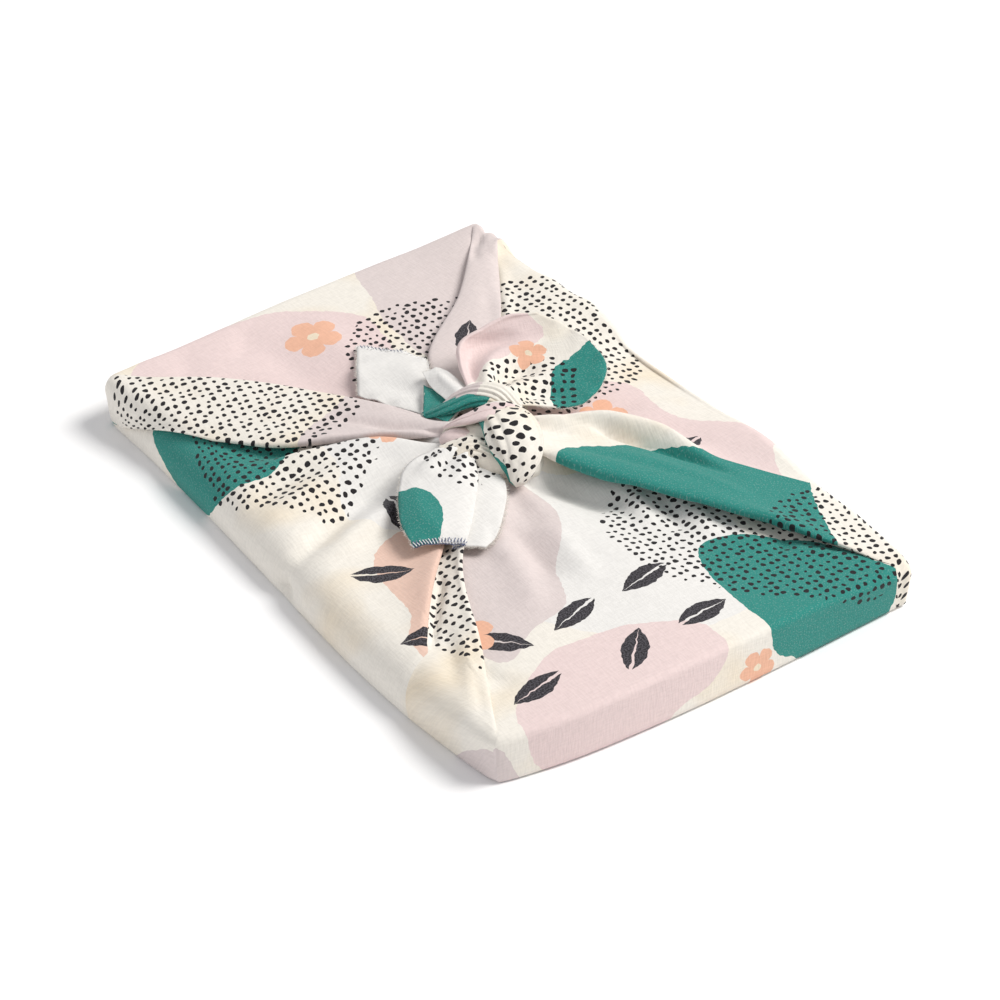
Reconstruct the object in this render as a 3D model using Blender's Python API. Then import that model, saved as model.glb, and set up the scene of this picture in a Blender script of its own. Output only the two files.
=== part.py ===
"""Furoshiki wrap: one square cloth drawn up over a flat parcel and tied with its four corners.

The wrap is one solid. Its body is lofted from ribs that run from the knot out to the
parcel's top edge and down to the floor. At each corner the ribs double back on
themselves, which makes the gathers that overlap the panels beside them. The knot is
built of swept strands, and the four free ends are thin sheets.
"""

import math
from collections import namedtuple

import bmesh
import bpy
import numpy as np

MM = 0.001

# Driving dimensions, millimetres
CORNERS = (  # plan of the parcel's four corners, in the order of the turn coordinate
    (-147.5, -100.5),
    (151.5, -101.0),
    (154.8, 104.4),
    (-155.5, 97.5),
)
SIDE_BOW = (6.8, 5.6, 4.4, 4.4)  # how far each side swells outward
SIDE_SKEW = (2.2, 0.72, 1.0, 1.6)  # where along it: 1 at its middle, more toward its second corner
CORNER_HEIGHT = (21.5, 21.5, 19.0, 28.0)  # of the top edge at each corner
SIDE_HEIGHT = (20.5, 24.8, 25.5, 24.8)  # of the top edge at each side's middle
EDGE_RADIUS = (15.0, 3.0, 5.0, 6.0)  # of the top edge along each side
CORNER_EDGE_RADIUS = 4.0  # of the top edge at the corners
EDGE_BLEND = 0.22  # share of a side over which the one turns into the other
CORNER_RADIUS = 7.0  # of the corners in plan
CROWN_HEIGHT = 23.0  # of the parcel's top face round the knot
FLOOR_RADIUS = 1.5
TURN_STEP = 0.004  # over which the outline's direction is taken
KNOT_X, KNOT_Y = 5.0, 2.0
TENT_RISE = 4.0  # how far the panels climb to the knot
TENT_REACH = 22.0
SHEET = 1.4  # thickness of the free ends
CREAM = (0.86, 0.81, 0.71, 1.0)
COTTON_ROUGHNESS = 0.9

# Resolution
TOP_ROWS = 12  # steps along a rib from the knot to the top edge
ARC_ROWS = 4  # over the edge's rounding
SIDE_ROWS = 2  # down the side
SPAN_STEPS = 2  # between neighbouring ribs
STRAND_STEPS = 3  # between a strand's sections
STRAND_SIDES = 10
SHEET_STEPS = 2  # between a free end's cross rows
SHEET_COLUMNS = 6
LUMP_SEGMENTS, LUMP_RINGS = 16, 9

Rib = namedtuple("Rib", "name knot turn floor bows lifts fold")
Fold = namedtuple("Fold", "side roll tuck closes")

# turn: 0 at the left corner, 1 front, 2 right, 3 back, 4 left again, counter-clockwise.
# knot: where the rib meets the knot; turn and floor: where it crosses the top edge and
# the floor; bows: how far it swings toward higher turns a third and two thirds out;
# lifts: height above the bare parcel at the knot, a third out, two thirds out and the
# top edge.
# A fold turns the cloth back under itself: side is +1 where it covers the panel of
# higher turn, roll is its edge's radius, tuck its hidden depth, and closes how far out
# along the rib it starts to close, where 1 is the top edge.
RIBS = (
    # left gather: a broad flat band over both panels
    Rib(
        "left band top", (-20.0, -3.5), 0.005, -0.024, (-10.1, -11.3),
        (9.0, 5.0, 3.6, 2.6), Fold(-1, 1.1, 3.0, 0.62),
    ),
    Rib("left band crown", (-18.5, -6.5), 0.07, -0.012, (-2.5, -3.0), (11.0, 6.8, 5.2, 3.4), None),
    Rib("left band shoulder", (-17.2, -9.5), 0.15, -0.002, (0.8, 1.5), (10.5, 6.6, 5.0, 2.8), None),
    Rib(
        "left band edge", (-16.5, -12.0), 0.224, 0.014, (0.6, 6.2),
        (7.5, 5.0, 4.0, 1.6), Fold(1, 2.0, 12.0, 0.88),
    ),
    # front-left panel
    Rib("front-left valley", (-14.2, -13.8), 0.262, 0.13, (-3.3, 0.0), (3.0, 0.2, -0.9, -0.4), None),
    Rib("front-left ridge", (-12.0, -15.5), 0.307, 0.3, (-8.0, -5.0), (7.5, 6.0, 4.0, 1.2), None),
    Rib("front-left slope", (-7.0, -18.0), 0.44, 0.44, (-1.0, 0.0), (4.5, 2.0, 1.2, 0.3), None),
    Rib("front-left furrow", (-4.0, -18.5), 0.5, 0.5, (-8.5, -6.5), (2.0, -3.6, -3.8, -1.0), None),
    Rib("front-left crest", (0.0, -19.5), 0.57, 0.57, (-1.7, -4.3), (2.5, 3.0, 3.2, 0.8), None),
    Rib("front-left flat", (5.0, -19.5), 0.68, 0.7, (0.0, 0.0), (3.0, 1.2, 0.6, 0.0), None),
    # front gather: the panel laps a strip, and the strip laps the next panel
    Rib(
        "slit lip", (10.0, -19.0), 0.794, 0.819, (-1.4, -2.3),
        (6.0, 3.4, 2.2, 0.6), Fold(1, 0.8, 5.0, 0.66),
    ),
    Rib("strip middle", (13.0, -17.5), 0.9, 0.925, (-5.5, -3.0), (4.5, 2.4, 1.8, 1.0), None),
    Rib(
        "strip edge", (17.0, -14.0), 0.984, 0.987, (-9.9, -4.0),
        (5.0, 2.6, 1.9, 1.2), Fold(1, 0.8, 3.6, 0.8),
    ),
    # front-right panel
    Rib("front-right rise", (19.5, -11.0), 1.16, 1.14, (-4.5, -4.5), (3.5, 0.6, 0.2, 0.0), None),
    Rib("front-right hollow", (21.0, -7.0), 1.36, 1.36, (-2.7, -2.7), (1.0, -1.2, -0.3, 0.0), None),
    Rib("front-right middle", (21.5, -2.0), 1.56, 1.56, (0.0, 0.0), (1.0, 0.2, 0.2, 0.0), None),
    Rib("front-right under band", (20.5, 3.0), 1.78, 1.78, (0.0, 0.0), (0.5, -2.0, -0.6, 0.0), None),
    # right gather: a broad band folded over the panel
    Rib(
        "right band edge", (14.9, 7.2), 1.951, 1.956, (0.1, 1.4),
        (12.0, 8.0, 5.6, 1.8), Fold(-1, 1.8, 20.0, 0.72),
    ),
    Rib("right band face", (14.5, 12.0), 1.98, 1.98, (6.5, 5.5), (13.0, 9.6, 6.6, 2.9), None),
    Rib("right band crease", (6.0, 21.0), 2.11, 2.11, (12.7, 4.0), (9.0, 5.4, 4.4, 2.4), None),
    # back-right panel, its front edge rolled up beside the knot
    Rib("back-right shoulder", (2.0, 22.5), 2.21, 2.2, (17.0, 6.0), (14.5, 11.5, 3.6, 0.8), None),
    Rib("back-right fall", (-1.0, 22.8), 2.32, 2.32, (12.0, 3.0), (7.0, 2.4, 1.4, 3.4), None),
    Rib("back-right top", (-4.0, 22.0), 2.43, 2.43, (6.0, 3.0), (5.5, 1.8, 0.0, -2.2), None),
    Rib("back-right middle", (-7.0, 20.5), 2.59, 2.59, (3.0, 3.0), (5.0, 1.4, -0.8, -5.4), None),
    Rib("back-right flat", (-9.5, 18.5), 2.745, 2.745, (1.2, 1.2), (4.0, 1.0, 1.2, 2.0), None),
    # back gather: a raised fold that laps the back-left panel
    Rib(
        "back fold crease", (-11.0, 15.5), 2.914, 2.93, (0.4, -1.1),
        (5.0, 3.4, 2.8, 2.8), Fold(-1, 0.7, 4.0, 0.8),
    ),
    Rib("back fold crown", (-12.5, 10.0), 2.945, 2.96, (9.5, 3.5), (7.0, 5.4, 4.6, 4.8), None),
    Rib(
        "back fold left edge", (-14.0, 3.5), 2.968, 2.987, (20.4, 6.7),
        (6.0, 3.6, 2.8, 3.8), Fold(1, 1.4, 8.0, 0.74),
    ),
    # back-left panel
    Rib("back-left lap", (-17.5, 3.0), 3.16, 3.17, (12.0, 8.0), (3.5, 0.8, 0.3, 0.0), None),
    Rib("back-left middle", (-19.4, 1.5), 3.48, 3.48, (0.0, 0.0), (3.0, 0.4, 0.2, 0.0), None),
    Rib("back-left dip", (-20.2, -1.0), 3.76, 3.76, (-8.9, -8.9), (3.0, 0.4, -0.3, 0.0), None),
)

# Points of a folded edge's section: along the cloth from its top to the panel beneath.
# Each is (rolls and tucks back from the edge, rolls above it, how much is still lifted).
FoldPoint = namedtuple("FoldPoint", "rolls_in tucks_in rolls_up lifted")
FOLD_SECTION = (
    FoldPoint(1.5, 0.0, 1.3, 1.0),
    FoldPoint(0.35, 0.0, 0.8, 1.0),
    FoldPoint(0.0, 0.0, 0.0, 1.0),
    FoldPoint(0.5, 0.0, -0.8, 1.0),
    FoldPoint(0.0, 0.75, 0.0, 0.45),
    FoldPoint(0.0, 1.0, 0.0, 0.25),
    FoldPoint(0.0, 0.8, 0.0, 0.06),
    FoldPoint(0.0, 0.3, 0.0, 0.0),
)
FOLD_EDGE = 2  # which of them is the edge itself
FOLD_END_PITCH = 0.6  # spacing of a fold's points where it runs out
ROLL_SHARE = 0.4  # a rolled edge's radius, at most, for each millimetre of lift

STATIONS = (0.0, 0.33, 0.67, 1.0)  # where along a rib its four values hold
FOLD_OPENS_OVER = 0.12  # a fold opens over this share of the rib next to the knot
FOLD_END = 1.2  # the floor, where 1 is the top edge
FOLD_CLOSES_OVER = 0.75  # of what is left of the rib from where a fold starts to close
LEAST_CHORD = 1e-6

# The knot's strands, a row for each section. The roll is in degrees.
Section = namedtuple("Section", "x y z half_width half_thickness roll")
STRANDS = {
    "knot_lobe": (
        (-12.0, 10.5, 38.0, 6.5, 3.0, 0.0),
        (-5.0, 8.5, 41.0, 9.0, 3.8, 0.0),
        (4.0, 6.5, 43.0, 11.2, 4.6, 0.0),
        (12.5, 4.2, 41.5, 12.0, 5.2, 0.0),
        (19.3, 2.0, 37.6, 10.6, 5.2, 0.0),
        (23.8, -0.8, 33.0, 7.2, 4.4, 0.0),
        (26.6, -3.8, 28.8, 3.2, 3.0, 0.0),
    ),
    "knot_strap": (
        (-16.5, -10.5, 34.5, 1.2, 1.0, 25.0),
        (-13.0, -7.0, 37.6, 4.0, 1.7, 25.0),
        (-9.5, -2.5, 40.4, 6.6, 2.2, 22.0),
        (-6.0, 3.5, 43.2, 8.2, 2.6, 16.0),
        (-2.0, 10.0, 43.6, 8.0, 2.9, 8.0),
        (2.0, 15.5, 40.6, 6.4, 3.0, 0.0),
        (6.0, 19.5, 35.0, 4.6, 3.0, 0.0),
    ),
    "knot_back_turn": (
        (-36.0, -8.5, 29.0, 2.6, 1.4, 0.0),
        (-30.0, -6.0, 33.4, 4.2, 2.0, 0.0),
        (-24.5, -1.6, 37.6, 4.4, 2.5, 0.0),
        (-20.0, 5.0, 40.6, 4.2, 2.9, 0.0),
        (-14.5, 12.0, 41.0, 4.2, 3.0, 0.0),
        (-6.0, 17.5, 37.0, 3.8, 2.8, 0.0),
    ),
    "knot_front_turn": (
        (13.0, -2.0, 33.0, 5.4, 3.8, 0.0),
        (8.0, -5.6, 35.0, 6.4, 4.4, 0.0),
        (3.2, -9.6, 35.6, 7.0, 4.2, 0.0),
        (0.6, -14.6, 34.4, 7.6, 3.4, 0.0),
        (-1.6, -21.0, 32.6, 8.0, 2.0, 0.0),
    ),
    "knot_collar": (
        (-28.5, -2.0, 35.4, 2.4, 2.0, 0.0),
        (-26.0, 4.0, 39.0, 4.2, 3.0, 0.0),
        (-21.0, 10.5, 42.0, 5.4, 3.8, 0.0),
        (-14.0, 16.5, 42.2, 5.6, 3.8, 0.0),
        (-6.0, 20.0, 38.0, 3.8, 3.2, 0.0),
    ),
}
STRAND_CAP = 0.6  # how far a strand's ends bulge, in half thicknesses
# Rounded lumps of cloth in the knot.
Lump = namedtuple("Lump", "name centre radii")
LUMPS = (
    Lump("knot_core", (3.0, 3.0, 31.0), (21.0, 17.0, 10.5)),
    Lump("knot_bud", (-8.5, -9.5, 33.5), (5.5, 4.5, 4.0)),
)
# The free ends, a row for each cross section from the knot outward.
CrossRow = namedtuple("CrossRow", "left middle right")
ENDS = {
    "end_front": (
        ((-5.0, -14.0, 33.0), (1.5, -12.0, 36.0), (8.0, -8.0, 35.0)),
        ((-8.4, -24.0, 32.0), (4.0, -18.0, 34.5), (15.0, -7.0, 31.0)),
        ((-6.1, -37.2, 30.5), (11.0, -26.0, 32.5), (25.3, -8.5, 28.5)),
        ((3.6, -46.7, 29.5), (20.0, -34.0, 31.0), (33.3, -14.0, 27.5)),
        ((20.6, -57.6, 28.0), (33.0, -44.0, 29.5), (47.9, -28.4, 26.5)),
        ((37.0, -61.8, 26.0), (43.5, -51.0, 27.5), (52.3, -37.4, 25.8)),
    ),
    "end_left": (
        ((-20.0, -6.0, 32.0), (-22.0, -1.0, 34.0), (-24.0, 4.0, 34.0)),
        ((-31.0, -8.5, 30.5), (-39.0, -1.5, 32.0), (-48.0, 5.0, 31.0)),
        ((-37.0, -9.5, 29.5), (-52.0, 2.0, 31.5), (-68.8, 15.0, 30.5)),
        ((-53.0, -15.5, 28.0), (-67.0, -3.0, 30.0), (-85.5, 8.0, 29.0)),
        ((-67.4, -20.8, 26.5), (-81.0, -12.5, 28.0), (-97.5, -1.5, 27.5)),
    ),
    "end_small": (
        ((-22.0, -1.0, 37.5), (-22.5, 4.0, 40.0), (-22.0, 9.0, 40.0)),
        ((-33.0, 0.0, 37.0), (-31.0, 5.5, 39.5), (-33.0, 11.0, 39.0)),
        ((-44.5, 1.5, 35.5), (-43.0, 6.5, 38.0), (-48.5, 10.8, 38.5)),
        ((-54.0, 3.8, 36.5), (-52.5, 6.5, 37.5), (-52.0, 9.0, 38.5)),
    ),
    "end_small_under": (
        ((-20.0, -7.0, 34.5), (-22.0, -1.0, 35.5), (-24.0, 4.0, 36.5)),
        ((-27.0, -8.5, 33.3), (-31.0, -2.5, 34.2), (-36.0, 3.5, 35.0)),
        ((-32.2, -10.8, 32.3), (-41.0, -4.5, 33.2), (-50.0, 1.4, 33.5)),
    ),
    "end_back": (
        ((-22.0, 7.0, 40.0), (-15.0, 12.0, 43.0), (-7.0, 17.0, 41.0)),
        ((-41.5, 14.5, 43.5), (-29.0, 22.0, 41.5), (-2.0, 31.5, 37.0)),
        ((-52.0, 22.0, 46.0), (-36.0, 34.0, 41.0), (3.0, 46.5, 35.0)),
        ((-53.5, 33.5, 48.0), (-36.0, 46.0, 42.5), (-0.5, 60.0, 38.5)),
        ((-52.5, 46.0, 50.5), (-34.0, 56.0, 45.5), (-8.5, 67.5, 42.5)),
        ((-46.0, 57.5, 51.5), (-34.0, 63.5, 49.5), (-22.0, 68.0, 46.5)),
    ),
}


def smooth(t):
    """A 0 to 1 ramp with level ends."""
    t = np.clip(t, 0.0, 1.0)
    return t * t * (3.0 - 2.0 * t)


def around(turn, at_corners, at_sides):
    """A value that swings between the corners' and the sides' values round the outline."""
    side = int(math.floor(turn)) % 4
    along = turn - math.floor(turn)
    ends = (1.0 - along) * at_corners[side] + along * at_corners[(side + 1) % 4]
    middle = 0.5 * (at_corners[side] + at_corners[(side + 1) % 4])
    return ends + (at_sides[side] - middle) * math.sin(math.pi * along)


def side_point(turn):
    """A point of the outline with sharp corners."""
    side = int(math.floor(turn)) % 4
    along = turn - math.floor(turn)
    a, b = np.array(CORNERS[side]), np.array(CORNERS[(side + 1) % 4])
    run = b - a
    out = np.array((run[1], -run[0])) / np.linalg.norm(run)
    return a + run * along + out * SIDE_BOW[side] * math.sin(math.pi * along ** SIDE_SKEW[side])


def outline(turn):
    """A point of the outline with its corners rounded."""
    corner = round(turn)
    reach = CORNER_RADIUS / side_length(math.floor(turn))
    if abs(turn - corner) >= reach:
        return side_point(turn)
    t = 0.5 + 0.5 * (turn - corner) / reach
    before = side_point(corner - CORNER_RADIUS / side_length(corner - 1))
    after = side_point(corner + CORNER_RADIUS / side_length(corner))
    return (1 - t) ** 2 * before + 2 * t * (1 - t) * side_point(corner) + t * t * after


def side_length(side):
    return math.dist(CORNERS[side % 4], CORNERS[(side + 1) % 4])


def outward(turn):
    """The outline's unit normal in plan."""
    run = outline(turn + TURN_STEP) - outline(turn - TURN_STEP)
    return np.array((run[1], -run[0])) / np.linalg.norm(run)


def edge_radius(turn):
    """The rounding of the parcel's top edge."""
    side = int(math.floor(turn)) % 4
    along = turn - math.floor(turn)
    blend = float(smooth(min(along, 1.0 - along) / EDGE_BLEND))
    return CORNER_EDGE_RADIUS + (EDGE_RADIUS[side] - CORNER_EDGE_RADIUS) * blend


def rib_path(rib):
    """The rib on the bare parcel, and its surface's normal and sideways direction."""
    height = around(rib.turn % 4, CORNER_HEIGHT, SIDE_HEIGHT)
    radius = edge_radius(rib.turn % 4)
    start, end = np.array(rib.knot), outline(rib.turn) - outward(rib.turn) * radius
    run = end - start
    sideways = np.array((-run[1], run[0])) / np.linalg.norm(run)
    points, normals = [], []
    for v, bow in zip(np.linspace(0.0, 1.0, TOP_ROWS + 1), between_stations((0.0, *rib.bows, 0.0))):
        plan = start + run * v + sideways * bow
        z = CROWN_HEIGHT + (height - CROWN_HEIGHT) * float(smooth(v))
        reach = math.dist(plan, (KNOT_X, KNOT_Y))
        z += TENT_RISE * math.exp(-((reach / TENT_REACH) ** 2))
        points.append((*plan, z))
        normals.append((0.0, 0.0, 1.0))
    arc = 0.5 * math.pi * radius
    descent = arc + height - radius
    for k in range(1, ARC_ROWS + 1):
        angle = 0.5 * math.pi * k / ARC_ROWS
        at = rib.turn + (rib.floor - rib.turn) * arc / descent * k / ARC_ROWS
        out = outward(at)
        plan = outline(at) - out * radius * (1.0 - math.sin(angle))
        points.append((*plan, height - radius * (1.0 - math.cos(angle))))
        normals.append((*(out * math.sin(angle)), math.cos(angle)))
    for k in range(1, SIDE_ROWS + 1):
        t = k / SIDE_ROWS
        at = rib.floor + (rib.turn - rib.floor) * (1.0 - arc / descent) * (1.0 - t)
        points.append((*outline(at), (height - radius) * (1.0 - t) + FLOOR_RADIUS * t))
        normals.append((*outward(at), 0.0))
    points.append((*(outline(rib.floor) - outward(rib.floor) * FLOOR_RADIUS), 0.0))
    normals.append((*outward(rib.floor), 0.0))
    points, normals = np.array(points), np.array(normals)
    across = np.cross(normals, np.gradient(points, axis=0))
    across[:, 2] = 0.0
    across /= np.linalg.norm(across, axis=1, keepdims=True)
    return points, normals, across


def hermite(a, b, slope_a, slope_b, t):
    """A point of the cubic from a to b with the given slopes at its ends."""
    bend = 2 * t**3 - 3 * t**2
    return (bend + 1) * a + (t**3 - 2 * t**2 + t) * slope_a - bend * b + (t**3 - t**2) * slope_b


def between_stations(values):
    """A rib's four values spread over the rows from the knot to the edge."""
    slopes = np.gradient(np.array(values), STATIONS)
    spread = []
    for v in np.linspace(0.0, 1.0, TOP_ROWS + 1):
        k = min(np.searchsorted(STATIONS, v, side="right") - 1, len(values) - 2)
        span = STATIONS[k + 1] - STATIONS[k]
        t = (v - STATIONS[k]) / span
        spread.append(hermite(values[k], values[k + 1], slopes[k] * span, slopes[k + 1] * span, t))
    return np.array(spread)


def along_rib(values):
    """A rib's four lifts spread over all its rows, fading to nothing at the floor."""
    down = np.linspace(1.0, 0.0, ARC_ROWS + SIDE_ROWS + 2)[1:]
    return np.concatenate((between_stations(values), values[3] * down))


def openness(closes):
    """How far a fold stands open on each row: closed at the knot and on the parcel's side."""
    top = np.linspace(0.0, 1.0, TOP_ROWS + 1)
    down = np.linspace(1.0, FOLD_END, ARC_ROWS + SIDE_ROWS + 2)[1:]
    v = np.concatenate((top, down))
    closed = smooth((v - closes) / ((FOLD_END - closes) * FOLD_CLOSES_OVER))
    return smooth(v / FOLD_OPENS_OVER) * (1.0 - closed)


def rib_lines(rib):
    """The rib's lines, one for a plain rib and one for each point of a folded edge."""
    points, normals, across = rib_path(rib)
    lift = along_rib(rib.lifts)[:, None]
    if rib.fold is None:
        return [points + normals * lift]
    fold, wide = rib.fold, openness(rib.fold.closes)[:, None]
    roll = np.minimum(fold.roll, ROLL_SHARE * lift)
    lines = []
    for k, p in enumerate(FOLD_SECTION):
        back = p.rolls_in * roll + p.tucks_in * fold.tuck
        run_out = (k - FOLD_EDGE) * FOLD_END_PITCH
        shift = fold.side * ((1.0 - wide) * run_out - wide * back)
        up = lift * (1.0 - wide + wide * p.lifted) + p.rolls_up * roll * wide
        lines.append(points + normals * up + across * shift)
    return lines if fold.side > 0 else lines[::-1]


def chord(a, b):
    """The centripetal length between two lines, row by row."""
    return np.sqrt(np.linalg.norm(b - a, axis=1, keepdims=True)) + LEAST_CHORD


def spline_between(lines, spans):
    """Fill in each span between the lines along a closed centripetal spline."""
    n = len(lines)
    filled = []
    for i, steps in enumerate(spans):
        before, a, b, after = (lines[(i + k) % n] for k in (-1, 0, 1, 2))
        c0, c1, c2 = chord(before, a), chord(a, b), chord(b, after)
        slope_a = c1 * ((a - before) / c0 - (b - before) / (c0 + c1) + (b - a) / c1)
        slope_b = c1 * ((b - a) / c1 - (after - a) / (c1 + c2) + (after - b) / c2)
        filled += [hermite(a, b, slope_a, slope_b, k / steps) for k in range(steps)]
    return filled


def closed_loft(columns):
    """The points and faces of a loft of columns, capped at the knot and at the floor."""
    grid = np.array(columns)
    n, rows = grid.shape[:2]
    points = list(grid.reshape(-1, 3))
    faces = []
    for i in range(n):
        j = (i + 1) % n
        for r in range(rows - 1):
            faces.append((i * rows + r, i * rows + r + 1, j * rows + r + 1, j * rows + r))
    for row in (0, rows - 1):
        points.append(grid[:, row].mean(axis=0))
        tip = len(points) - 1
        faces += [(i * rows + row, ((i + 1) % n) * rows + row, tip) for i in range(n)]
    return points, faces


def add_mesh(name, points, faces):
    """A closed object of triangles that face outward, from points in millimetres."""
    mesh = bpy.data.meshes.new(name)
    mesh.from_pydata([tuple(np.array(p) * MM) for p in points], [], faces)
    bm = bmesh.new()
    bm.from_mesh(mesh)
    bmesh.ops.triangulate(bm, faces=bm.faces)
    bmesh.ops.recalc_face_normals(bm, faces=bm.faces)
    bm.to_mesh(mesh)
    bm.free()
    obj = bpy.data.objects.new(name, mesh)
    bpy.context.scene.collection.objects.link(obj)
    return obj


def body():
    """The wrapped parcel, lofted through the ribs."""
    lines, spans = [], []
    for rib in RIBS:
        lines_of_rib = rib_lines(rib)
        lines += lines_of_rib
        spans += [1] * (len(lines_of_rib) - 1) + [SPAN_STEPS]
    return add_mesh("furoshiki_cloth", *closed_loft(spline_between(lines, spans)))


def through(rows, steps):
    """Rows of numbers along an open spline through the given ones."""
    rows = np.array(rows, float)
    slopes = np.gradient(rows, axis=0)
    filled = [
        hermite(rows[i], rows[i + 1], slopes[i], slopes[i + 1], k / steps)
        for i in range(len(rows) - 1)
        for k in range(steps)
    ]
    return np.array(filled + [rows[-1]])


def strand(name, sections):
    """A closed swept strand of oval section."""
    rows = [Section(*row) for row in through(sections, STRAND_STEPS)]
    centres = np.array([(row.x, row.y, row.z) for row in rows])
    along = np.gradient(centres, axis=0)
    along /= np.linalg.norm(along, axis=1, keepdims=True)
    across = np.cross(along, (0.0, 0.0, 1.0))
    across /= np.linalg.norm(across, axis=1, keepdims=True)
    up = np.cross(across, along)
    points = []
    for centre, level, upright, row in zip(centres, across, up, rows):
        roll = math.radians(row.roll)
        wide = (level * math.cos(roll) + upright * math.sin(roll)) * row.half_width
        thick = (upright * math.cos(roll) - level * math.sin(roll)) * row.half_thickness
        for k in range(STRAND_SIDES):
            angle = 2 * math.pi * k / STRAND_SIDES
            points.append(centre + wide * math.cos(angle) + thick * math.sin(angle))
    last, m = len(rows) - 1, STRAND_SIDES
    faces = [
        (r * m + k, r * m + (k + 1) % m, (r + 1) * m + (k + 1) % m, (r + 1) * m + k)
        for r in range(last)
        for k in range(m)
    ]
    for row, direction in ((0, -1), (last, 1)):
        bulge = direction * STRAND_CAP * rows[row].half_thickness
        points.append(centres[row] + along[row] * bulge)
        tip = len(points) - 1
        faces += [(row * m + k, row * m + (k + 1) % m, tip) for k in range(m)]
    return add_mesh(name, points, faces)


def parabola(row):
    """Points on the arch through a cross row's left, middle and right point."""
    for s in np.linspace(0.0, 1.0, SHEET_COLUMNS + 1):
        yield (
            2 * (s - 0.5) * (s - 1) * row.left
            + 4 * s * (1 - s) * row.middle
            + 2 * s * (s - 0.5) * row.right
        )


def sheet(name, cross_rows):
    """A closed thin sheet through cross rows, thickened to both sides."""
    rows = through([np.ravel(row) for row in cross_rows], SHEET_STEPS)
    grid = np.array([list(parabola(CrossRow(*row.reshape(3, 3)))) for row in rows])
    normals = np.cross(np.gradient(grid, axis=1), np.gradient(grid, axis=0))
    normals /= np.linalg.norm(normals, axis=2, keepdims=True)
    n, m = grid.shape[:2]
    points = np.concatenate([(grid + side * normals * SHEET / 2).reshape(-1, 3) for side in (1, -1)])
    other = n * m
    faces = []
    for r in range(n - 1):
        for k in range(m - 1):
            a, b, c, d = r * m + k, r * m + k + 1, (r + 1) * m + k + 1, (r + 1) * m + k
            faces += [(a, b, c, d), (a + other, d + other, c + other, b + other)]
    rim = list(range(m))
    rim += [r * m + m - 1 for r in range(1, n)]
    rim += [(n - 1) * m + k for k in range(m - 2, -1, -1)]
    rim += [r * m for r in range(n - 2, 0, -1)]
    faces += [(a, a + other, b + other, b) for a, b in zip(rim, rim[1:] + rim[:1])]
    return add_mesh(name, points, faces)


def lump(name, centre, radii):
    """A closed rounded lump of gathered cloth."""
    bm = bmesh.new()
    bmesh.ops.create_uvsphere(bm, u_segments=LUMP_SEGMENTS, v_segments=LUMP_RINGS, radius=1.0)
    for v in bm.verts:
        v.co = [(c + r * x) * MM for c, r, x in zip(centre, radii, v.co)]
    mesh = bpy.data.meshes.new(name)
    bm.to_mesh(mesh)
    bm.free()
    obj = bpy.data.objects.new(name, mesh)
    bpy.context.scene.collection.objects.link(obj)
    return obj


def printed_cotton():
    """Matt plain-weave cotton, cream as its ground colour."""
    material = bpy.data.materials.new("printed_cotton")
    material.use_nodes = True
    shader = material.node_tree.nodes["Principled BSDF"]
    shader.inputs["Base Color"].default_value = CREAM
    shader.inputs["Roughness"].default_value = COTTON_ROUGHNESS
    shader.inputs["Metallic"].default_value = 0.0
    return material


def join_knot(cloth):
    """Fuse the knot and the free ends onto the wrapped parcel."""
    tied = bpy.data.collections.new("knot_and_ends")
    bpy.context.scene.collection.children.link(tied)
    pieces = [lump(*row) for row in LUMPS]
    pieces += [strand(name, sections) for name, sections in STRANDS.items()]
    pieces += [sheet(name, rows) for name, rows in ENDS.items()]
    for piece in pieces:
        bpy.context.scene.collection.objects.unlink(piece)
        tied.objects.link(piece)
        piece.hide_render = True
        piece.display_type = "WIRE"
    union = cloth.modifiers.new("knot", "BOOLEAN")
    union.operation = "UNION"
    union.operand_type = "COLLECTION"
    union.collection = tied
    union.solver = "EXACT"
    union.use_self = True


def main():
    for obj in list(bpy.data.objects):
        bpy.data.objects.remove(obj)
    cloth = body()
    join_knot(cloth)
    cloth.data.materials.append(printed_cotton())
    cloth.data.shade_smooth()


main()
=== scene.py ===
"""Furoshiki wrap, dressed: printed cotton drawn up over a flat parcel and tied on top.

The wrapped body is a fine loft of ribs that run from the knot over the parcel's edge to
the floor. Every point of it also knows where it lies on the flat square cloth, so the
print and the weave follow the cloth over edges and change direction at each gather.
The knot is made of pleated strands, and the free ends are thin sheets with raw edges.
Lengths in the tables are millimetres, angles are degrees.
"""

import math
from collections import namedtuple

import bpy
import numpy as np
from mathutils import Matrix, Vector, noise


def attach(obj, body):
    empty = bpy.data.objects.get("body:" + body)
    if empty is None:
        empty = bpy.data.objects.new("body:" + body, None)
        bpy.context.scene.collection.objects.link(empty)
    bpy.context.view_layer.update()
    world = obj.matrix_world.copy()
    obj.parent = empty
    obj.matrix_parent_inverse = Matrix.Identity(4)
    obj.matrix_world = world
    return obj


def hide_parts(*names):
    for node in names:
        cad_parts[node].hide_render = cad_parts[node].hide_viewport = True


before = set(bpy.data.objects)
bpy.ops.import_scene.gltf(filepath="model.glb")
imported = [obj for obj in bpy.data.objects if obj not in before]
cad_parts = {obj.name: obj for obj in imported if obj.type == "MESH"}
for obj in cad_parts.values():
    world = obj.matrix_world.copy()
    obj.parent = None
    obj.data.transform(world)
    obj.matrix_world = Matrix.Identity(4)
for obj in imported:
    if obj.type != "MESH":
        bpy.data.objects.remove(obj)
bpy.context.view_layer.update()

MM = 0.001
NODE = "furoshiki_cloth"
BODY = "root"

# --------------------------------------------------------------------------------------
# Camera, light and floor
# --------------------------------------------------------------------------------------

VIEW_AZIMUTH, VIEW_ELEVATION = 54.88, 36.24
VIEW_DISTANCE = 1.488
VIEW_TARGET = (0.0, 0.0064, 0.0)
LENS, SENSOR = 126.0, 36.0
NEAR_CLIP = 0.05

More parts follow.
